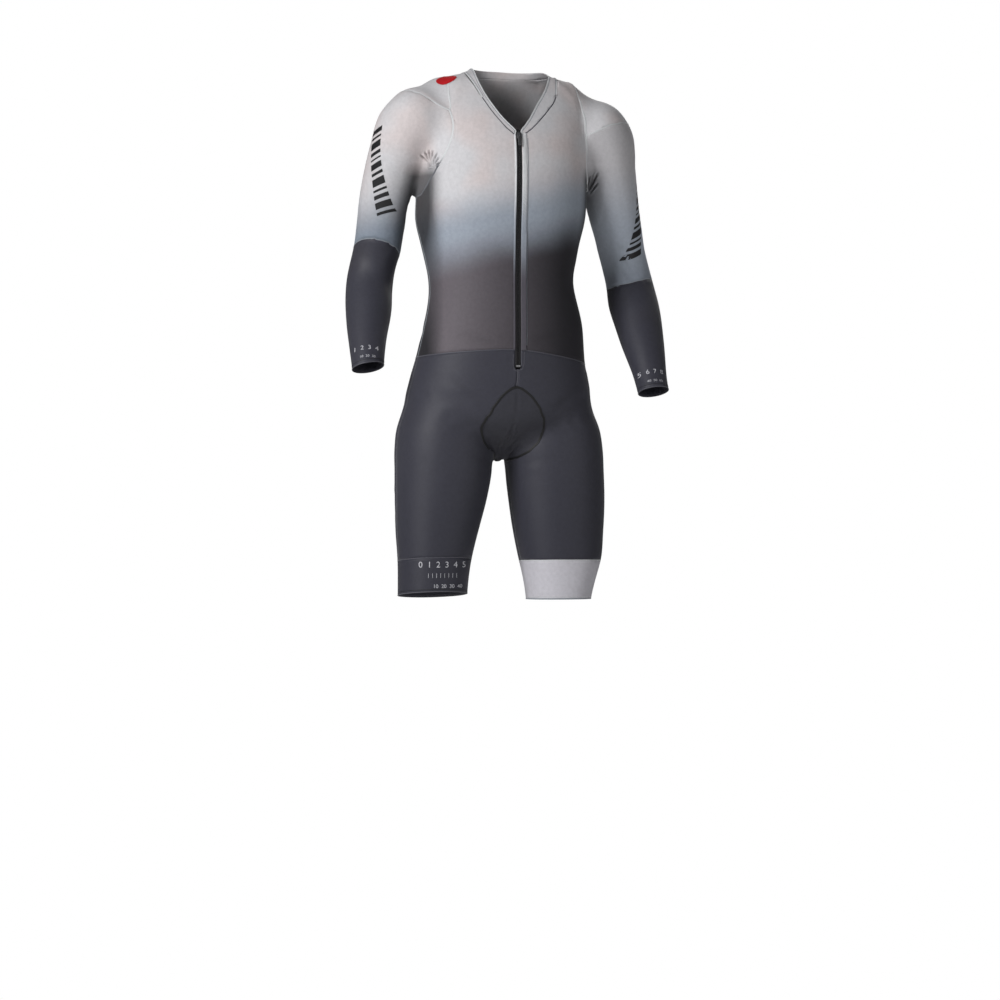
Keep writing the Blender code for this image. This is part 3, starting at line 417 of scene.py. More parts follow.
def fade_group():
    """Printed fade from silver through a blue grey to charcoal, lower on the right, with painted shade under
    the arms.
    The fade's lean is partly painted shade on the wearer's left. In front the charcoal turns across the body
    to a darker tone on the wearer's left, which is painted shade, and behind it is an even mix."""
    group, given, out = new_group(
        "Fade print",
        (
            ("Vector", "Vector", None),
            ("Silver", "Color", (0.6, 0.6, 0.6, 1)),
            ("Blush", "Color", (0.6, 0.5, 0.5, 1)),
            ("Middle", "Color", (0.2, 0.25, 0.3, 1)),
            ("Dark", "Color", (0.03, 0.03, 0.04, 1)),
            ("Dark in left shade", "Color", (0.03, 0.03, 0.04, 1)),
            ("Top", "Float", -0.19), ("Bottom", "Float", -0.35),
            ("Lean", "Float", 0.45), ("Cloud", "Float", 0.03),
            ("Underarm shade", "Float", 0.0), ("Side from", "Float", 0.105), ("Side to", "Float", 0.135),
        ),
        (("Colour", "Color"),),
    )
    place = node_in(group, "ShaderNodeSeparateXYZ", {0: given["Vector"]}).outputs
    clouds = node_in(group, "ShaderNodeTexNoise", {
        "Vector": given["Vector"], "Scale": 7.0, "Detail": 2.0, "Roughness": 0.5,
    }).outputs["Fac"]
    tint = node_in(group, "ShaderNodeTexNoise", {
        "Vector": given["Vector"], "Scale": 11.0, "Detail": 1.0,
    }).outputs["Fac"]
    # The lean sets the fade lower on the right, partly print and partly painted shade on the wearer's left.
    level = result_of(group, "SUBTRACT", place["Z"], result_of(group, "MULTIPLY", place["X"], given["Lean"]))
    centred = result_of(group, "SUBTRACT", clouds, 0.5)
    drift = result_of(group, "MULTIPLY_ADD", centred, given["Cloud"], level)
    half = result_of(group, "MULTIPLY", result_of(group, "ADD", given["Top"], given["Bottom"]), 0.5)
    upper = ramp(group, drift, half, given["Top"], kind="SMOOTHSTEP")
    lower = ramp(group, drift, given["Bottom"], half, kind="SMOOTHSTEP")
    pale = blend(group, ramp(group, tint, 0.42, 0.62), given["Silver"], given["Blush"])
    # Painted shade: in front the charcoal turns darker towards the wearer's left.
    across = ramp(group, place["X"], -0.125, 0.09)
    behind = ramp(group, place["Y"], 0.0, 0.05)
    left_shade_share = blend(group, behind, across, 0.45, kind="FLOAT")
    darkest = blend(group, left_shade_share, given["Dark"], given["Dark in left shade"])
    deep = blend(group, lower, darkest, given["Middle"])
    whole = blend(group, upper, deep, pale)
    # Painted shade: the colour goes dark under the arms, on the body's sides and the sleeves' inner sides.
    outward = result_of(group, "ABSOLUTE", place["X"])
    underarm_reach = ramp(group, outward, given["Side from"], given["Side to"])
    underarm_shade_mask = result_of(group, "MULTIPLY", given["Underarm shade"], underarm_reach)
    for axis, start, full in UNDERARM_SHADE_LIMITS:
        underarm_shade_mask = result_of(group, "MULTIPLY", underarm_shade_mask, ramp(group, place[axis], start, full))
    group.links.new(blend(group, underarm_shade_mask, whole, SIDE_SHADE), out["Colour"])
    return group


KNIT = knit_group()
FADE = fade_group()


def cloth_material(name, silver, blush, middle, dark, top, bottom, lean, cloud, sides=(0.0, 0.1, 0.14),
                   rough=0.68, left_shade_dark=None):
    """Printed knit with its fade, weave, painted shade in its folds and soft sheen. sides gives the strength
    of the painted shade under the arms, and how far out it starts and is full."""
    material, tree, shader = new_material(name, {
        "Roughness": rough, "Sheen Weight": CLOTH_SHEEN, "Sheen Roughness": 0.45, "Specular IOR Level": 0.35,
    })
    place = object_place(tree)
    knit = node_in(tree, "ShaderNodeGroup", {"Vector": place}, node_tree=KNIT).outputs
    print_colour = node_in(tree, "ShaderNodeGroup", {
        "Vector": place, "Silver": silver, "Blush": blush, "Middle": middle, "Dark": dark,
        "Dark in left shade": left_shade_dark or dark, "Top": top, "Bottom": bottom, "Lean": lean, "Cloud": cloud,
        "Underarm shade": sides[0], "Side from": sides[1], "Side to": sides[2],
    }, node_tree=FADE).outputs["Colour"]
    # Painted shade: the colour is darkened where the skin is pressed into a crease.
    fold = node_in(tree, "ShaderNodeAttribute", attribute_name="fold").outputs["Fac"]
    painted_fold_shade = ramp(tree, fold, 0.0, 1.0, 1.0, FOLD_SHADE_TONE)
    fold_shaded_colour = scaled(tree, scaled(tree, print_colour, knit["Shade"]), painted_fold_shade)
    tree.links.new(fold_shaded_colour, shader.inputs["Base Color"])
    add_relief(tree, shader, knit["Height"], 0.25)
    return material


SILVER = colour(203, 202, 205)
BLUSH = colour(206, 197, 197)
BLUE_GREY = colour(131, 141, 154)
MAUVE = colour(100, 94, 100)
TORSO_BLUE = colour(152, 160, 172)
CHARCOAL = colour(57, 57, 67)
# SHADED_SILVER is the silver darkened as painted shade, for the left sleeve.
SHADED_SILVER = colour(190, 188, 191)
CLOTH_MATERIALS = {
    # name, silver, blush, middle, dark, top and bottom of the fade, lean, cloud, sides
    # The torso's darker charcoal on the wearer's left is painted shade.
    "torso": cloth_material(
        "Printed knit torso", SILVER, BLUSH, TORSO_BLUE, MAUVE, -0.18, -0.355, 0.24, 0.04,
        (0.92, 0.124, 0.149), left_shade_dark=colour(38, 36, 42),
    ),
    # The sleeves' sides values paint shade on their inner sides, towards the body.
    "right": cloth_material(
        "Printed knit right sleeve", SILVER, BLUSH, BLUE_GREY, BLUE_GREY, -0.17, -0.38, 0.1, 0.02,
        (0.8, 0.195, 0.170),
    ),
    # The left sleeve's silver is a darker copy, painted shade.
    "left": cloth_material(
        "Printed knit left sleeve in painted shade", SHADED_SILVER, SHADED_SILVER, colour(176, 184, 196),
        colour(124, 131, 143), -0.17, -0.44, 0.1, 0.02, (0.7, 0.190, 0.160),
    ),
    "dark": cloth_material(
        "Charcoal knit", CHARCOAL, colour(58, 57, 65), CHARCOAL, colour(50, 50, 60), -0.3, -0.9, 0.0, 0.1,
        rough=0.57,
    ),
    "pad": cloth_material(
        "Charcoal pad cover", colour(55, 55, 63), colour(52, 52, 60), colour(55, 55, 63), colour(50, 50, 58),
        -0.55, -0.75, 0.0, 0.1,
    ),
    "band": cloth_material(
        "Silver gripper knit", colour(205, 203, 210), colour(196, 194, 201), colour(205, 203, 210),
        colour(196, 194, 201), -0.3, -0.9, 0.0, 0.1, rough=0.45,
    ),
    "binding": cloth_material(
        "Printed knit binding", colour(214, 216, 218), colour(214, 214, 216), colour(150, 157, 168),
        colour(84, 81, 89), -0.20, -0.39, 0.0, 0.02,
    ),
}
PANELS = {
    # panel: material, slot, flat width, flat length, flat area
    "back": ("torso", "silver_cloth", 0.40, 0.52, 0.179),
    "collar_band": ("torso", "silver_cloth", 0.40, 0.025, 0.0084),
    "front_right": ("torso", "silver_cloth", 0.21, 0.50, 0.077),
    "front_left": ("torso", "silver_cloth", 0.21, 0.50, 0.081),
    "shoulder_right": ("torso", "silver_cloth", 0.12, 0.14, 0.0117),
    "shoulder_left": ("torso", "silver_cloth", 0.15, 0.16, 0.0192),
    "sleeve_right": ("right", "silver_cloth", 0.32, 0.30, 0.0765),
    "sleeve_left": ("left", "silver_cloth", 0.32, 0.30, 0.0757),
    "forearm_right": ("dark", "dark_cloth", 0.27, 0.27, 0.058),
    "forearm_left": ("dark", "dark_cloth", 0.27, 0.27, 0.057),
    "shorts_front_right": ("dark", "dark_cloth", 0.25, 0.39, 0.079),
    "shorts_front_left": ("dark", "dark_cloth", 0.25, 0.39, 0.080),
    "shorts_back_right": ("dark", "dark_cloth", 0.27, 0.39, 0.0835),
    "shorts_back_left": ("dark", "dark_cloth", 0.27, 0.39, 0.083),
    "leg_band_right": ("dark", "dark_cloth", 0.38, 0.075, 0.0233),
    "leg_band_left": ("band", "silver_band", 0.40, 0.075, 0.0277),
}


def finished_piece(name, bm, material):
    """A piece made from a bmesh, with its material, riding on the suit."""
    mesh = bpy.data.meshes.new(name)
    bm.to_mesh(mesh)
    bm.free()
    mesh.materials.append(material)
    piece = bpy.data.objects.new(name, mesh)
    bpy.context.scene.collection.objects.link(piece)
    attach(piece, "suit")
    return piece


def thicken(piece, thickness, label="Wall"):
    """Gives a piece its thickness, inwards from its outer face."""
    wall = piece.modifiers.new(label, "SOLIDIFY")
    wall.thickness = thickness
    wall.offset = -1.0
    return wall


def parted(name):
    """One panel's share of the skin, as its own bmesh."""
    part = cloth.copy()
    index = PANEL_NAMES.index(name)
    others = [f for f in part.faces if f.material_index != index]
    bmesh.ops.delete(part, geom=others, context="FACES")
    for face in part.faces:
        face.material_index = 0
        face.smooth = True
    return part


for name, (finish, slot, flat_width, flat_length, flat_area) in PANELS.items():
    panel = finished_piece("cloth_" + name, parted(name), CLOTH_MATERIALS[finish])
    thicken(panel, CLOTH_THICKNESS)
    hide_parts(name)

# Seat pad
# A moulded foam pad covered in the same charcoal knit and sewn into the shorts, thin at its outline and
# thickest in the middle. Its crown stands inwards, because the outside is drawn tight.

PAD_THICKNESS = 0.006
PAD_EDGE_SHARE = 0.15
PAD_SLOPE = 0.022

pad_mesh = parted("seat_pad")
rim_points = [v.co.copy() for v in pad_mesh.verts if v.is_boundary]
crown = [
    min(1.0, PAD_EDGE_SHARE + min((v.co - rim).length for rim in rim_points) / PAD_SLOPE)
    for v in pad_mesh.verts
]
pad = finished_piece("cloth_seat_pad", pad_mesh, CLOTH_MATERIALS["pad"])
pad_group = pad.vertex_groups.new(name="crown")
for index, share in enumerate(crown):
    pad_group.add([index], share, "REPLACE")
thicken(pad, PAD_THICKNESS, "Foam").vertex_group = "crown"
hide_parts("seat_pad")

# Flatlock seams
# Every pair of panels is joined by a flat seam of polyester thread, two low ridges with a zigzag between,
# 2 to 5 mm wide. It is pale or cool grey on the silver cloth, grey on the charcoal and black round the pad.

SEAM_PROFILE = (
    # across as a share of the half width, height as a share of the seam's own
    (-1.0, -0.6), (-0.8, 0.7), (-0.5, 1.0), (0.0, 0.5), (0.5, 1.0), (0.8, 0.7), (1.0, -0.6),
)
GROOVE_TONE = (0.7, 0.7, 0.7, 1)
# A darker tone, painted shade, takes over between these heights, which are just below the armpits.
ARMPIT_SHADE_FROM = -0.158
ARMPIT_SHADE_FULL = -0.176


def thread_material(name, tone, sheen=0.2, armpit_shade_tone=None):
    """Sewing thread laid in a close zigzag, read along the seam from its own UV map. A low tone, if given,
    darkens it below the armpits as painted shade.
    """
    material, tree, shader = new_material(name, {"Roughness": 0.55, "Sheen Weight": sheen})
    along = node_in(tree, "ShaderNodeUVMap", uv_map="along").outputs[0]
    zigzag = node_in(tree, "ShaderNodeTexWave", {
        "Vector": along, "Scale": 0.22, "Distortion": 1.5,
    }, bands_direction="DIAGONAL").outputs["Fac"]
    axes = node_in(tree, "ShaderNodeSeparateXYZ", {0: object_place(tree)}).outputs
    armpit_shaded_tone = blend(tree, ramp(tree, axes["Z"], ARMPIT_SHADE_FROM, ARMPIT_SHADE_FULL), tone, armpit_shade_tone or tone)
    tree.links.new(blend(tree, zigzag, armpit_shaded_tone, GROOVE_TONE, way="MULTIPLY"), shader.inputs["Base Color"])
    add_relief(tree, shader, zigzag, 0.6)
    return material


THREADS = {
    "pale": thread_material("Pale thread", colour(222, 224, 226)),
    # This pale thread darkens below the armpit as painted shade.
    "pale_armpit_shaded": thread_material("Pale thread in painted armpit shade", colour(222, 224, 226), armpit_shade_tone=colour(104, 106, 112)),
    "cool": thread_material("Cool grey thread", colour(150, 157, 166)),
    "grey": thread_material("Grey thread", colour(80, 80, 90)),
    "black": thread_material("Black thread", colour(12, 12, 14), sheen=0.05),
}


def lines_of(edges):
    """Edges put in order, as one list of vertices for each unbroken line."""
    left = set(edges)
    lines = []
    while left:
        count = {}
        for edge in left:
            for vertex in edge.verts:
                count[vertex] = count.get(vertex, 0) + 1
        ends = [v for v, uses in count.items() if uses == 1]
        vertex = min(ends or count, key=lambda v: v.index)
        line = [vertex]
        while True:
            ahead = sorted((e for e in vertex.link_edges if e in left), key=lambda e: e.index)
            if not ahead:
                break
            left.remove(ahead[0])
            vertex = ahead[0].other_vert(vertex)
            line.append(vertex)
        lines.append(line)
    return lines


def strip(bm, rows):
    """A strip laid through rows of points, with a UV map in millimetres along it."""
    columns = len(rows[0])
    made = bmesh.ops.create_grid(bm, x_segments=columns - 1, y_segments=len(rows) - 1, size=1)["verts"]
    order = sorted(made, key=lambda v: (round(v.co.y, 6), round(v.co.x, 6)))
    along = [0.0]
    for before, after in zip(rows, rows[1:]):
        along.append(along[-1] + (after[columns // 2] - before[columns // 2]).length * 1000)
    placed = {}
    for index, vertex in enumerate(order):
        row, column = divmod(index, columns)
        vertex.co = rows[row][column]
        placed[vertex] = (column, along[row])
    uv = bm.loops.layers.uv.get("along") or bm.loops.layers.uv.new("along")
    for face in {f for v in order for f in v.link_faces}:
        face.smooth = True
        for loop in face.loops:
            loop[uv].uv = placed[loop.vert]


def seam_rows(line, half_width, height, shift=0.0):
    """Rows of a seam's strip: its cross-section carried along a line of skin vertices."""
    closed = line[0] is line[-1]
    rows = []
    for step, vertex in enumerate(line):
        before = line[step - 1] if step else (line[-2] if closed else line[0])
        after = line[step + 1] if step + 1 < len(line) else (line[1] if closed else line[-1])
        side = (after.co - before.co).normalized().cross(vertex.normal).normalized()
        rows.append([
            vertex.co + side * (half_width * across + shift) + vertex.normal * (height * up)
            for across, up in SEAM_PROFILE
        ])
    return rows


def seam_edges(first, second):
    """The skin's edges between any panel of one list and any of the other."""
    ones = {PANEL_NAMES.index(name) for name in first}
    others = {PANEL_NAMES.index(name) for name in second}
    found = []
    for edge in cloth.edges:
        if len(edge.link_faces) == 2:
            a, b = (face.material_index for face in edge.link_faces)
            if a != b and ((a in ones and b in others) or (b in ones and a in others)):
                found.append(edge)
    return found


FRONTS = ("front_right", "front_left")
SHORTS = ("shorts_front_right", "shorts_front_left", "shorts_back_right", "shorts_back_left")
SEAMS = {
    # seam: panels on one side, panels on the other, half width, height, thread
    "neck": (("collar_band",), FRONTS + ("back",), 0.0010, 0.0004, "grey"),
    "armhole_right": (FRONTS + ("back",), ("shoulder_right", "sleeve_right"), 0.0019, 0.0005, "pale_armpit_shaded"),
    "armhole_left": (FRONTS + ("back",), ("shoulder_left", "sleeve_left"), 0.0019, 0.0005, "pale"),
    "yoke_right": (("shoulder_right",), ("sleeve_right",), 0.0014, 0.0004, "pale"),
    "yoke_left": (("shoulder_left",), ("sleeve_left",), 0.0014, 0.0004, "pale"),
    "sides": (FRONTS, ("back",), 0.0013, 0.0004, "cool"),
    "elbow_right": (("sleeve_right",), ("forearm_right",), 0.0011, 0.0003, "cool"),
    "elbow_left": (("sleeve_left",), ("forearm_left",), 0.0011, 0.0003, "cool"),
    "waist": (FRONTS + ("back",), SHORTS, 0.0011, 0.0004, "grey"),
    "legs": (SHORTS[:2], SHORTS[2:], 0.0012, 0.0004, "grey"),
    "centre": (("shorts_front_right", "shorts_back_right"), ("shorts_front_left", "shorts_back_left"),
               0.0011, 0.0004, "grey"),
    "pad": (("seat_pad",), SHORTS, 0.0024, 0.0010, "black"),
    "band_right": (("leg_band_right",), SHORTS, 0.0009, 0.0003, "grey"),
    "band_left": (("leg_band_left",), SHORTS, 0.0009, 0.0003, "pale"),
}
for name, (first, second, half_width, height, thread) in SEAMS.items():
    seam = bmesh.new()
    for line in lines_of(seam_edges(first, second)):
        strip(seam, seam_rows(line, half_width, height))
    slot = "dark_cloth" if thread in ("grey", "black") else "silver_cloth"
    finished_piece("seam_" + name, seam, THREADS[thread])

# Hems
# The neck, cuffs and legs end in a narrow fold of the cloth, held by one fine row of polyester stitches
# a few millimetres inside the edge.

HEM_WIDTH = 0.0011
HEM_HEIGHT = 0.0005
HEMS = {
    # panel: thread of the fold, distance of the stitched row from the edge, thread of the row
    "collar_band": ("pale", 0.0032, "cool"),
    "forearm_right": ("grey", 0.0070, "black"),
    "forearm_left": ("grey", 0.0070, "black"),
    "leg_band_right": ("grey", 0.0050, "black"),
    "leg_band_left": ("cool", 0.0040, "pale"),
}
ROW_WIDTH = 0.0005
ROW_HEIGHT = 0.00025
# The fold lies inside the edge by this share of its width. A shorter run of open edges is no hem.
FOLD_INSET = 0.8
LEAST_HEM_POINTS = 12


def inward_sign(line):
    """Which way a seam's own side direction points to the cloth, along an open edge."""
    middle = len(line) // 2
    vertex = line[middle]
    side = (line[middle + 1].co - line[middle - 1].co).cross(vertex.normal)
    centres = [face.calc_center_median() for face in vertex.link_faces]
    inner = sum(centres, Vector()) / len(centres)
    return 1 if side.dot(inner - vertex.co) > 0 else -1


for name, (fold_thread, row_distance, row_thread) in HEMS.items():
    index = PANEL_NAMES.index(name)
    open_edges = [
        e for e in cloth.edges if len(e.link_faces) == 1 and e.link_faces[0].material_index == index
    ]
    fold, row = bmesh.new(), bmesh.new()
    for line in lines_of(open_edges):
        if len(line) < LEAST_HEM_POINTS:
            continue
        sign = inward_sign(line)
        strip(fold, seam_rows(line, HEM_WIDTH, HEM_HEIGHT, sign * HEM_WIDTH * FOLD_INSET))
        strip(row, seam_rows(line, ROW_WIDTH, ROW_HEIGHT, sign * row_distance))
    slot = PANELS[name][1]
    finished_piece("hem_fold_" + name, fold, THREADS[fold_thread])
    finished_piece("hem_row_" + name, row, THREADS[row_thread])

# Zip tapes
# Two woven black polyester tapes behind the fronts' edges, with a fine moulded chain between them that
# is closed from the slider down to the stop.

TAPE_STEP = 0.004
TAPE_END_GAP = 0.0004
TAPE_COLUMNS = 6
TAPE_INNER_EDGE = 0.0003
TAPE_WIDTH = 0.0045
TAPE_SET_BACK = 0.0002
TAPE_THICKNESS = 0.0006
TOOTH_PITCH = 0.0014
TOOTH_SIZE = (0.0012, 0.0006, 0.00045)
TOOTH_OFFSET = 0.0010
TOOTH_PROUD = 0.0001
CHAIN_TOP = -0.128
CHAIN_FOOT = -0.533
BEFORE_ZIP = -0.3
ZIP_Y = -0.095
WEAVE_GROOVE = 0.6


def front_of(tree, x, z):
    """The point of a solid that shows from the front at x and z, or else the nearest to it."""
    hit = tree.ray_cast(Vector((x, BEFORE_ZIP, z)), Vector((0, 1, 0)))[0]
    return tree.find_nearest(Vector((x, ZIP_Y, z)))[0] if hit is None else hit


def levels(low, high, step, gap):
    """Heights up a piece, about a step apart, with a gap left at both ends."""
    count = round((high - low) / step)
    return [low + gap + (high - low - 2 * gap) * index / count for index in range(count + 1)]


def woven_material(name, tone, rough):
    """Plain tape weave, close ribs across the tape."""
    material, tree, shader = new_material(name, {"Roughness": rough})
    ribs = node_in(tree, "ShaderNodeTexWave", {
        "Vector": object_place(tree), "Scale": 320.0, "Distortion": 0.4,
    }, bands_direction="Z").outputs["Fac"]
    groove = tuple(WEAVE_GROOVE * share for share in tone[:3]) + (1,)
    tree.links.new(blend(tree, ribs, groove, tone), shader.inputs["Base Color"])
    add_relief(tree, shader, ribs, 0.5)
    return material


TAPE = woven_material("Black woven tape", colour(24, 24, 27), 0.6)
TOOTH = woven_material("Black moulded chain", colour(30, 30, 33), 0.3)
graph = bpy.context.evaluated_depsgraph_get()
teeth = bmesh.new()
for side_name, side in (("right", -1), ("left", 1)):
    node = frame["nodes"]["zip_tape_" + side_name]
    low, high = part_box("zip_tape_" + side_name)
    solid = BVHTree.FromObject(node, graph)
    rows = []
    for z in levels(low[2], high[2], TAPE_STEP, TAPE_END_GAP):
        row = []
        for column in range(TAPE_COLUMNS):
            x = side * (TAPE_INNER_EDGE + TAPE_WIDTH * (column / (TAPE_COLUMNS - 1)))
            row.append(Vector((x, front_of(solid, x, z).y + TAPE_SET_BACK, z)))
        rows.append(row if side > 0 else row[::-1])
    tape_bm = bmesh.new()
    strip(tape_bm, rows)
    tape = finished_piece("zip_tape_cloth_" + side_name, tape_bm, TAPE)
    thicken(tape, TAPE_THICKNESS)
    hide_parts("zip_tape_" + side_name)
    z = CHAIN_TOP + (0 if side > 0 else TOOTH_PITCH / 2)
    while z > CHAIN_FOOT:
        spot = front_of(solid, side * TOOTH_OFFSET, z)
        made = bmesh.ops.create_icosphere(teeth, subdivisions=1, radius=1.0)["verts"]
        bmesh.ops.scale(teeth, verts=made, vec=TOOTH_SIZE)
        bmesh.ops.translate(teeth, verts=made, vec=(side * TOOTH_OFFSET, spot.y - TOOTH_PROUD, z))
        z -= TOOTH_PITCH
finished_piece("zip_chain", teeth, TOOTH)

# Zip bindings
# A narrow folded strip of the silver knit covers each front's edge beside the zip, wider on the left as
# a flap. The feed of the machine has drawn it into small slanting puckers below the chest.

BINDING_STEP = 0.0012
BINDING_END_GAP = 0.0006
BINDING_COLUMNS = 9
BINDING_EDGE_SHARE = 0.02
BINDING_PROUD = 0.0002
BINDING_THICKNESS = 0.0005
LEAST_PUCKER = 0.12
BINDING_PUCKERS = {
    # side: x sign, pitch, slant, height, centre z, spread z, flat area
    "right": (-1, 0.0052, 0.9, 0.00045, -0.186, 0.016, 0.0014),
    "left": (1, 0.0062, 0.8, 0.00070, -0.236, 0.040, 0.0036),
}
for side_name, (side, pitch, slant, height, centre_z, spread_z, area) in BINDING_PUCKERS.items():
    node_name = "zip_binding_" + side_name
    low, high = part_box(node_name)
    solid = BVHTree.FromObject(frame["nodes"][node_name], graph)
    inner, outer = (low[0], high[0]) if side > 0 else (high[0], low[0])
    rows = []
    for z in levels(low[2], high[2], BINDING_STEP, BINDING_END_GAP):
        gathered = height * (LEAST_PUCKER + math.exp(-(((z - centre_z) / spread_z) ** 2)))
        row = []
        for column in range(BINDING_COLUMNS):
            share = column / (BINDING_COLUMNS - 1)
            x = inner + (outer - inner) * (BINDING_EDGE_SHARE + (1 - 2 * BINDING_EDGE_SHARE) * share)
            wave = math.sin(2 * math.pi * (z + slant * abs(x)) / pitch)
            crown = math.sin(math.pi * share) ** 0.5 if 0 < share < 1 else 0.0
            y = front_of(solid, x, z).y - gathered * wave * crown - BINDING_PROUD * crown
            row.append(Vector((x, y, z)))
        rows.append(row if side > 0 else row[::-1])
    binding_bm = bmesh.new()
    strip(binding_bm, rows)
    binding = finished_piece(
        "zip_binding_cloth_" + side_name, binding_bm, CLOTH_MATERIALS["binding"]
    )
    thicken(binding, BINDING_THICKNESS)
    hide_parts(node_name)

# One row of stitches runs down the flap's outer edge, and another closes the zip's lower end.
ZIP_ROWS = {
    # row: half width, thread, points x, z on the front
    "flap": (0.0006, "cool", ((0.0168, -0.1260), (0.0170, -0.25), (0.0168, -0.40), (0.0165, -0.5065))),
    "end": (0.0007, "grey", (
        (0.0118, -0.5090), (0.0115, -0.5300), (0.0085, -0.5395), (0.0000, -0.5445), (-0.0070, -0.5415),
        (-0.0088, -0.5330), (-0.0090, -0.5120),
    )),
}
ROW_POINTS = 12


class Spot:
    """A place on the skin, for a line that follows no seam."""

    def __init__(self, x, z):
        self.co, self.normal, _, _ = skin_tree.ray_cast(Vector((x, BEFORE_ZIP, z)), Vector((0, 1, 0)))


for name, (half_width, thread, stops) in ZIP_ROWS.items():
    spots = []
    for (x0, z0), (x1, z1) in zip(stops, stops[1:]):
        for step in range(ROW_POINTS):
            share = step / ROW_POINTS
            spots.append(Spot(x0 + (x1 - x0) * share, z0 + (z1 - z0) * share))
    row = bmesh.new()
    strip(row, seam_rows([spot for spot in spots if spot.co], half_width, ROW_HEIGHT))
    finished_piece("zip_row_" + name, row, THREADS[thread])

# Zip metal
# The slider, its pull tab and the bottom stop are small pressed zinc parts with a dark nickel finish,
# rubbed brighter in places.

NICKEL, tree, shader = new_material("Rubbed dark nickel", {"Metallic": 1.0})
rubbed = node_in(tree, "ShaderNodeTexNoise", {
    "Vector": object_place(tree), "Scale": 900.0, "Detail": 3.0,
}).outputs["Fac"]
metal_tone = blend(tree, rubbed, colour(84, 84, 88), colour(160, 160, 162))
tree.links.new(metal_tone, shader.inputs["Base Color"])
tree.links.new(ramp(tree, rubbed, 0.0, 1.0, 0.45, 0.22), shader.inputs["Roughness"])
add_relief(tree, shader, rubbed, 0.15, 0.0001)
for name in ("zip_slider", "zip_pull", "zip_stop"):
    for metal_slot in frame["nodes"][name].material_slots:
        metal_slot.material = NICKEL

# Printed marks
# Thin heat-pressed film: slanted black bars down the outer sleeves, a plain red oval on the right
# shoulder, and pale digits and ticks like a ruler's at the cuffs and the right leg.

FILM_LIFT = 0.00025
FILM_REACH = 0.08


def film_material(name, tone, rough):
    """Thin printed film with a faint mottle from the knit under it."""
    material, tree, shader = new_material(name, {"Roughness": rough})
    knit = node_in(tree, "ShaderNodeGroup", {"Vector": object_place(tree)}, node_tree=KNIT).outputs
    base = node_in(tree, "ShaderNodeRGB").outputs[0]
    base.default_value = tone
    tree.links.new(scaled(tree, base, knit["Shade"]), shader.inputs["Base Color"])
    add_relief(tree, shader, knit["Height"], 0.12)
    return material


FILMS = {
    "black": film_material("Black film", colour(22, 22, 25), 0.5),
    "red": film_material("Red film", colour(190, 22, 30), 0.5),
    "white": film_material("White film", colour(196, 196, 202), 0.6),
}


def pressed_on(bm, origin, up, facing, lift=FILM_LIFT):
    """Flat film, drawn in x and y, pressed on the skin about origin along -facing."""
    facing = Vector(facing).normalized()
    across = Vector(up).cross(facing).normalized()
    up = facing.cross(across)
    missed = []
    for vertex in bm.verts:
        start = Vector(origin) + across * vertex.co.x + up * vertex.co.y + facing * FILM_REACH
        spot, normal, _, _ = skin_tree.ray_cast(start, -facing, 2 * FILM_REACH)
        if spot is None:
            missed.append(vertex)
        else:
            vertex.co = spot + normal * lift
    bmesh.ops.delete(bm, geom=missed, context="VERTS")


BAR_WIDTHS = (0.009, 0.004, 0.012, 0.006, 0.003, 0.010, 0.005, 0.013, 0.004, 0.007, 0.011, 0.005)
BAR_GAP = 0.0055
BAR_HEIGHT = 0.026
BAR_SLANT = 0.45
BAR_GRID = (10, 3)
BAR_ROWS = {
    # sleeve: first x, y, z, last x, y, z, facing x, y, z, bars
    "right": (-0.2340, 0.0000, -0.1060, -0.2090, 0.0400, -0.2740, -0.78, -0.62, 0.0, 12),
    "left": (0.2550, 0.0200, -0.1850, 0.2680, 0.0300, -0.3300, 0.84, -0.54, 0.0, 11),
}
for side_name, row in BAR_ROWS.items():
    first, last, facing, count = Vector(row[:3]), Vector(row[3:6]), row[6:9], row[9]
    down = (last - first).normalized()
    bars = bmesh.new()
    reach = 0.0
    for width in BAR_WIDTHS[:count]:
        bar = bmesh.new()
        bmesh.ops.create_grid(bar, x_segments=BAR_GRID[0], y_segments=BAR_GRID[1], size=0.5)
        for vertex in bar.verts:
            across, share = vertex.co.x * BAR_HEIGHT, vertex.co.y
            vertex.co = (across, -(reach + width * (0.5 - share)) + across * BAR_SLANT, 0)
        pressed_on(bar, first, -down, facing)
        bar_mesh = bpy.data.meshes.new("bar")
        bar.to_mesh(bar_mesh)
        bar.free()
        bars.from_mesh(bar_mesh)
        bpy.data.meshes.remove(bar_mesh)
        reach += width + BAR_GAP
    finished_piece("print_bars_" + side_name, bars, FILMS["black"])

OVAL_SIZE = (0.0190, 0.0150)
OVAL_LIFT = 0.0009
OVAL_GRID = 16
OVAL_PLACE = (-0.1150, -0.0190, -0.0100)
OVAL_UP = (0, 1, 0.4)
OVAL_FACING = (-0.35, -0.45, 1.0)
oval = bmesh.new()
bmesh.ops.create_grid(oval, x_segments=OVAL_GRID, y_segments=OVAL_GRID, size=1.0)
for vertex in oval.verts:
    x, y = vertex.co.x, vertex.co.y
    across = OVAL_SIZE[0] * x * math.sqrt(1 - y * y / 2)
    vertex.co = (across, OVAL_SIZE[1] * y * math.sqrt(1 - x * x / 2), 0)
pressed_on(oval, OVAL_PLACE, OVAL_UP, OVAL_FACING, OVAL_LIFT)
finished_piece("print_oval", oval, FILMS["red"])

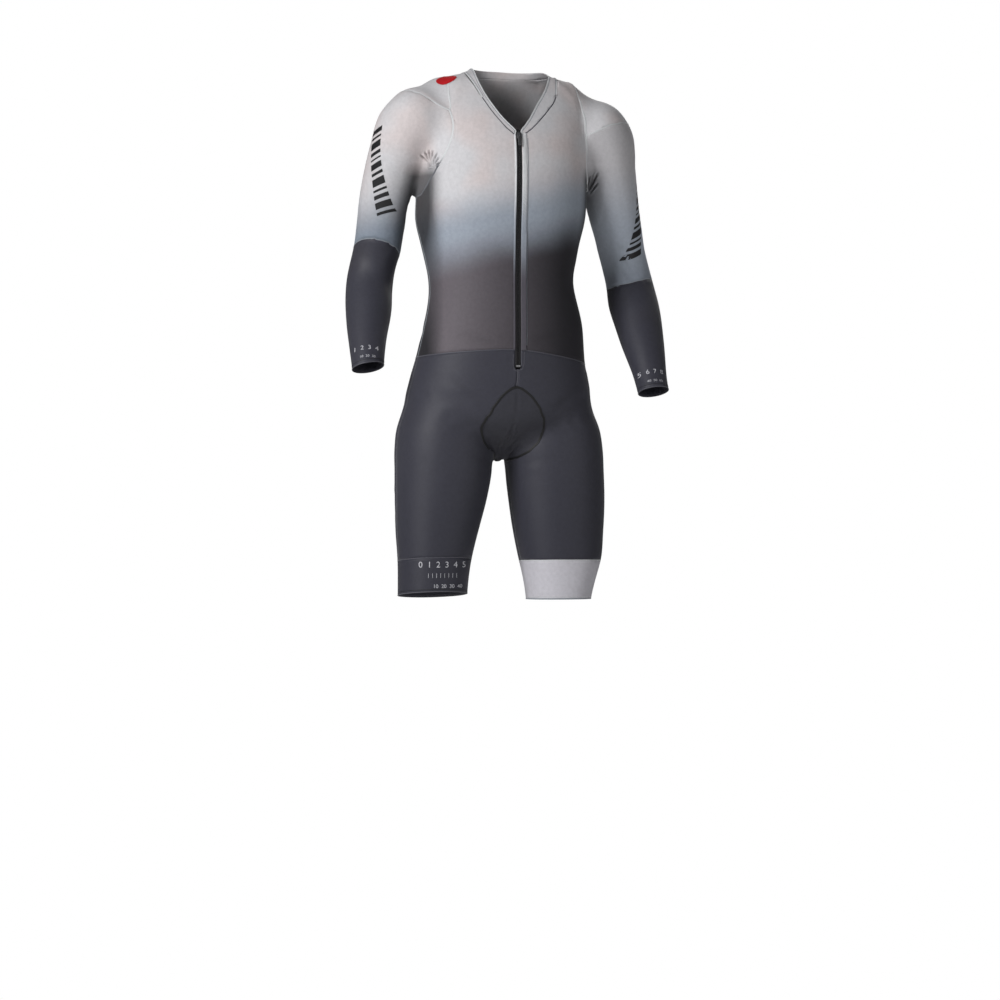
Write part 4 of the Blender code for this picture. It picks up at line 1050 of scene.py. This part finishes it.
DIGIT_SIDES = {
    # place: up x, y, z, facing x, y, z
    "hem": ((0, 0, 1), (-0.20, -0.98, 0)),
    "cuff_right": ((0.11, 0.55, 0.82), (-0.25, -0.9, 0.5)),
    "cuff_left": ((0.02, 0.55, 0.83), (-0.10, -0.9, 0.5)),
}
DIGIT_ROWS = (
    # place, row, digits, height, x, y, z of the middle
    ("hem", "large", "0  1  2  3  4  5", 0.0150, -0.1300, -0.0540, -0.8915),
    ("hem", "middle", "|  |  |  |  |  |  |  |", 0.0090, -0.1300, -0.0540, -0.9100),
    ("hem", "small", "10  20  30  40", 0.0095, -0.1200, -0.0530, -0.9300),
    ("cuff_right", "large", "1  2  3  4", 0.0125, -0.2610, -0.0100, -0.5030),
    ("cuff_right", "small", "10  20  30", 0.0070, -0.2600, -0.0190, -0.5190),
    ("cuff_left", "large", "5  6  7  8", 0.0125, 0.2560, -0.0790, -0.5430),
    ("cuff_left", "small", "40  50  60", 0.0070, 0.2600, -0.0900, -0.5590),
)
DIGIT_MERGE = 0.00002
DIGIT_LONG_EDGE = 0.002
DIGIT_CUTS = 2
for place_name, row_name, digits, height, x, y, z in DIGIT_ROWS:
    name = place_name + "_" + row_name
    up, facing = DIGIT_SIDES[place_name]
    text_data = bpy.data.curves.new(name, "FONT")
    text_data.body = digits
    text_data.size = height
    text_data.align_x = "CENTER"
    text_data.align_y = "CENTER"
    text = bpy.data.objects.new(name, text_data)
    bpy.context.scene.collection.objects.link(text)
    graph = bpy.context.evaluated_depsgraph_get()
    flat_mesh = bpy.data.meshes.new_from_object(text.evaluated_get(graph))
    bpy.data.objects.remove(text)
    film = bmesh.new()
    film.from_mesh(flat_mesh)
    bpy.data.meshes.remove(flat_mesh)
    bmesh.ops.remove_doubles(film, verts=film.verts, dist=DIGIT_MERGE)
    long_edges = [e for e in film.edges if e.calc_length() > DIGIT_LONG_EDGE]
    bmesh.ops.subdivide_edges(film, edges=long_edges, cuts=DIGIT_CUTS)
    pressed_on(film, (x, y, z), up, facing)
    finished_piece("print_" + name, film, FILMS["white"])

# Camera, light and floor
# A pale studio: a key light high at the left and front, a weak broad fill at the right and a light behind.
# The camera is level with the thighs, where the photograph was taken from, and the floor lies where the
# feet would stand. The camera alone sees the world and the floor as plain white.

CAMERA_TURN = math.radians(-16)
CAMERA_DISTANCE = 5.0
CAMERA_LENS = 98.6
SENSOR_WIDTH = 36
VIEW_CENTRE_Z = -0.775
VIEW_SHIFT = -0.0073
SKY_STRENGTH = 0.09
FLOOR_Z = -1.55
FLOOR_REACH = 9.0
WHITE = (1, 1, 1, 1)

scene = bpy.context.scene
scene.view_settings.view_transform = "Standard"
to_camera = Vector((math.sin(CAMERA_TURN), -math.cos(CAMERA_TURN), 0))
to_right = Vector((math.cos(CAMERA_TURN), math.sin(CAMERA_TURN), 0))
target = Vector((0, 0, VIEW_CENTRE_Z)) + to_right * VIEW_SHIFT
camera_data = bpy.data.cameras.new("camera")
camera_data.lens = CAMERA_LENS
camera_data.sensor_width = SENSOR_WIDTH
camera = bpy.data.objects.new("camera", camera_data)
camera.location = target + to_camera * CAMERA_DISTANCE
camera.rotation_euler = (math.pi / 2, 0, CAMERA_TURN)
scene.collection.objects.link(camera)
scene.camera = camera

LIGHTS = (
    # name, right, towards the camera, up, size, power
    ("key", -2.2, 2.55, 1.3, 1.3, 104.0),
    ("fill", 2.4, 2.6, 0.2, 2.2, 17.0),
    ("rear", 0.8, -2.8, 1.6, 2.0, 30.0),
)
LIT_CENTRE = Vector((0, 0, -0.45))
for name, right, forward, up, size, power in LIGHTS:
    light_data = bpy.data.lights.new(name, "AREA")
    light_data.size = size
    light_data.energy = power
    light = bpy.data.objects.new(name, light_data)
    light.location = LIT_CENTRE + to_right * right + to_camera * forward + Vector((0, 0, up))
    light.rotation_euler = (light.location - LIT_CENTRE).to_track_quat("Z", "Y").to_euler()
    scene.collection.objects.link(light)


def white_to_camera(tree, plain, kind, output):
    """Makes a world or material shine white to the camera alone, and lets all other rays see it plain."""
    white = node_in(tree, kind, {"Color": WHITE, "Strength": 1.0})
    seen = node_in(tree, "ShaderNodeLightPath").outputs["Is Camera Ray"]
    choice = node_in(tree, "ShaderNodeMixShader", {0: seen, 1: plain.outputs[0], 2: white.outputs[0]})
    tree.links.new(choice.outputs[0], tree.nodes[output].inputs["Surface"])


world = bpy.data.worlds.new("studio")
world.use_nodes = True
scene.world = world
sky = world.node_tree.nodes["Background"]
sky.inputs["Color"].default_value = WHITE
sky.inputs["Strength"].default_value = SKY_STRENGTH
white_to_camera(world.node_tree, sky, "ShaderNodeBackground", "World Output")

floor_bm = bmesh.new()
bmesh.ops.create_grid(floor_bm, x_segments=8, y_segments=8, size=FLOOR_REACH)
bmesh.ops.translate(floor_bm, verts=floor_bm.verts, vec=(0, 0, FLOOR_Z))
floor_mesh = bpy.data.meshes.new("floor")
floor_bm.to_mesh(floor_mesh)
floor_bm.free()
floor = bpy.data.objects.new("floor", floor_mesh)
scene.collection.objects.link(floor)
floor_paint, tree, shader = new_material("Pale floor", {"Base Color": (0.9, 0.9, 0.9, 1), "Roughness": 0.8})
white_to_camera(tree, shader, "ShaderNodeEmission", "Material Output")
floor_mesh.materials.append(floor_paint)
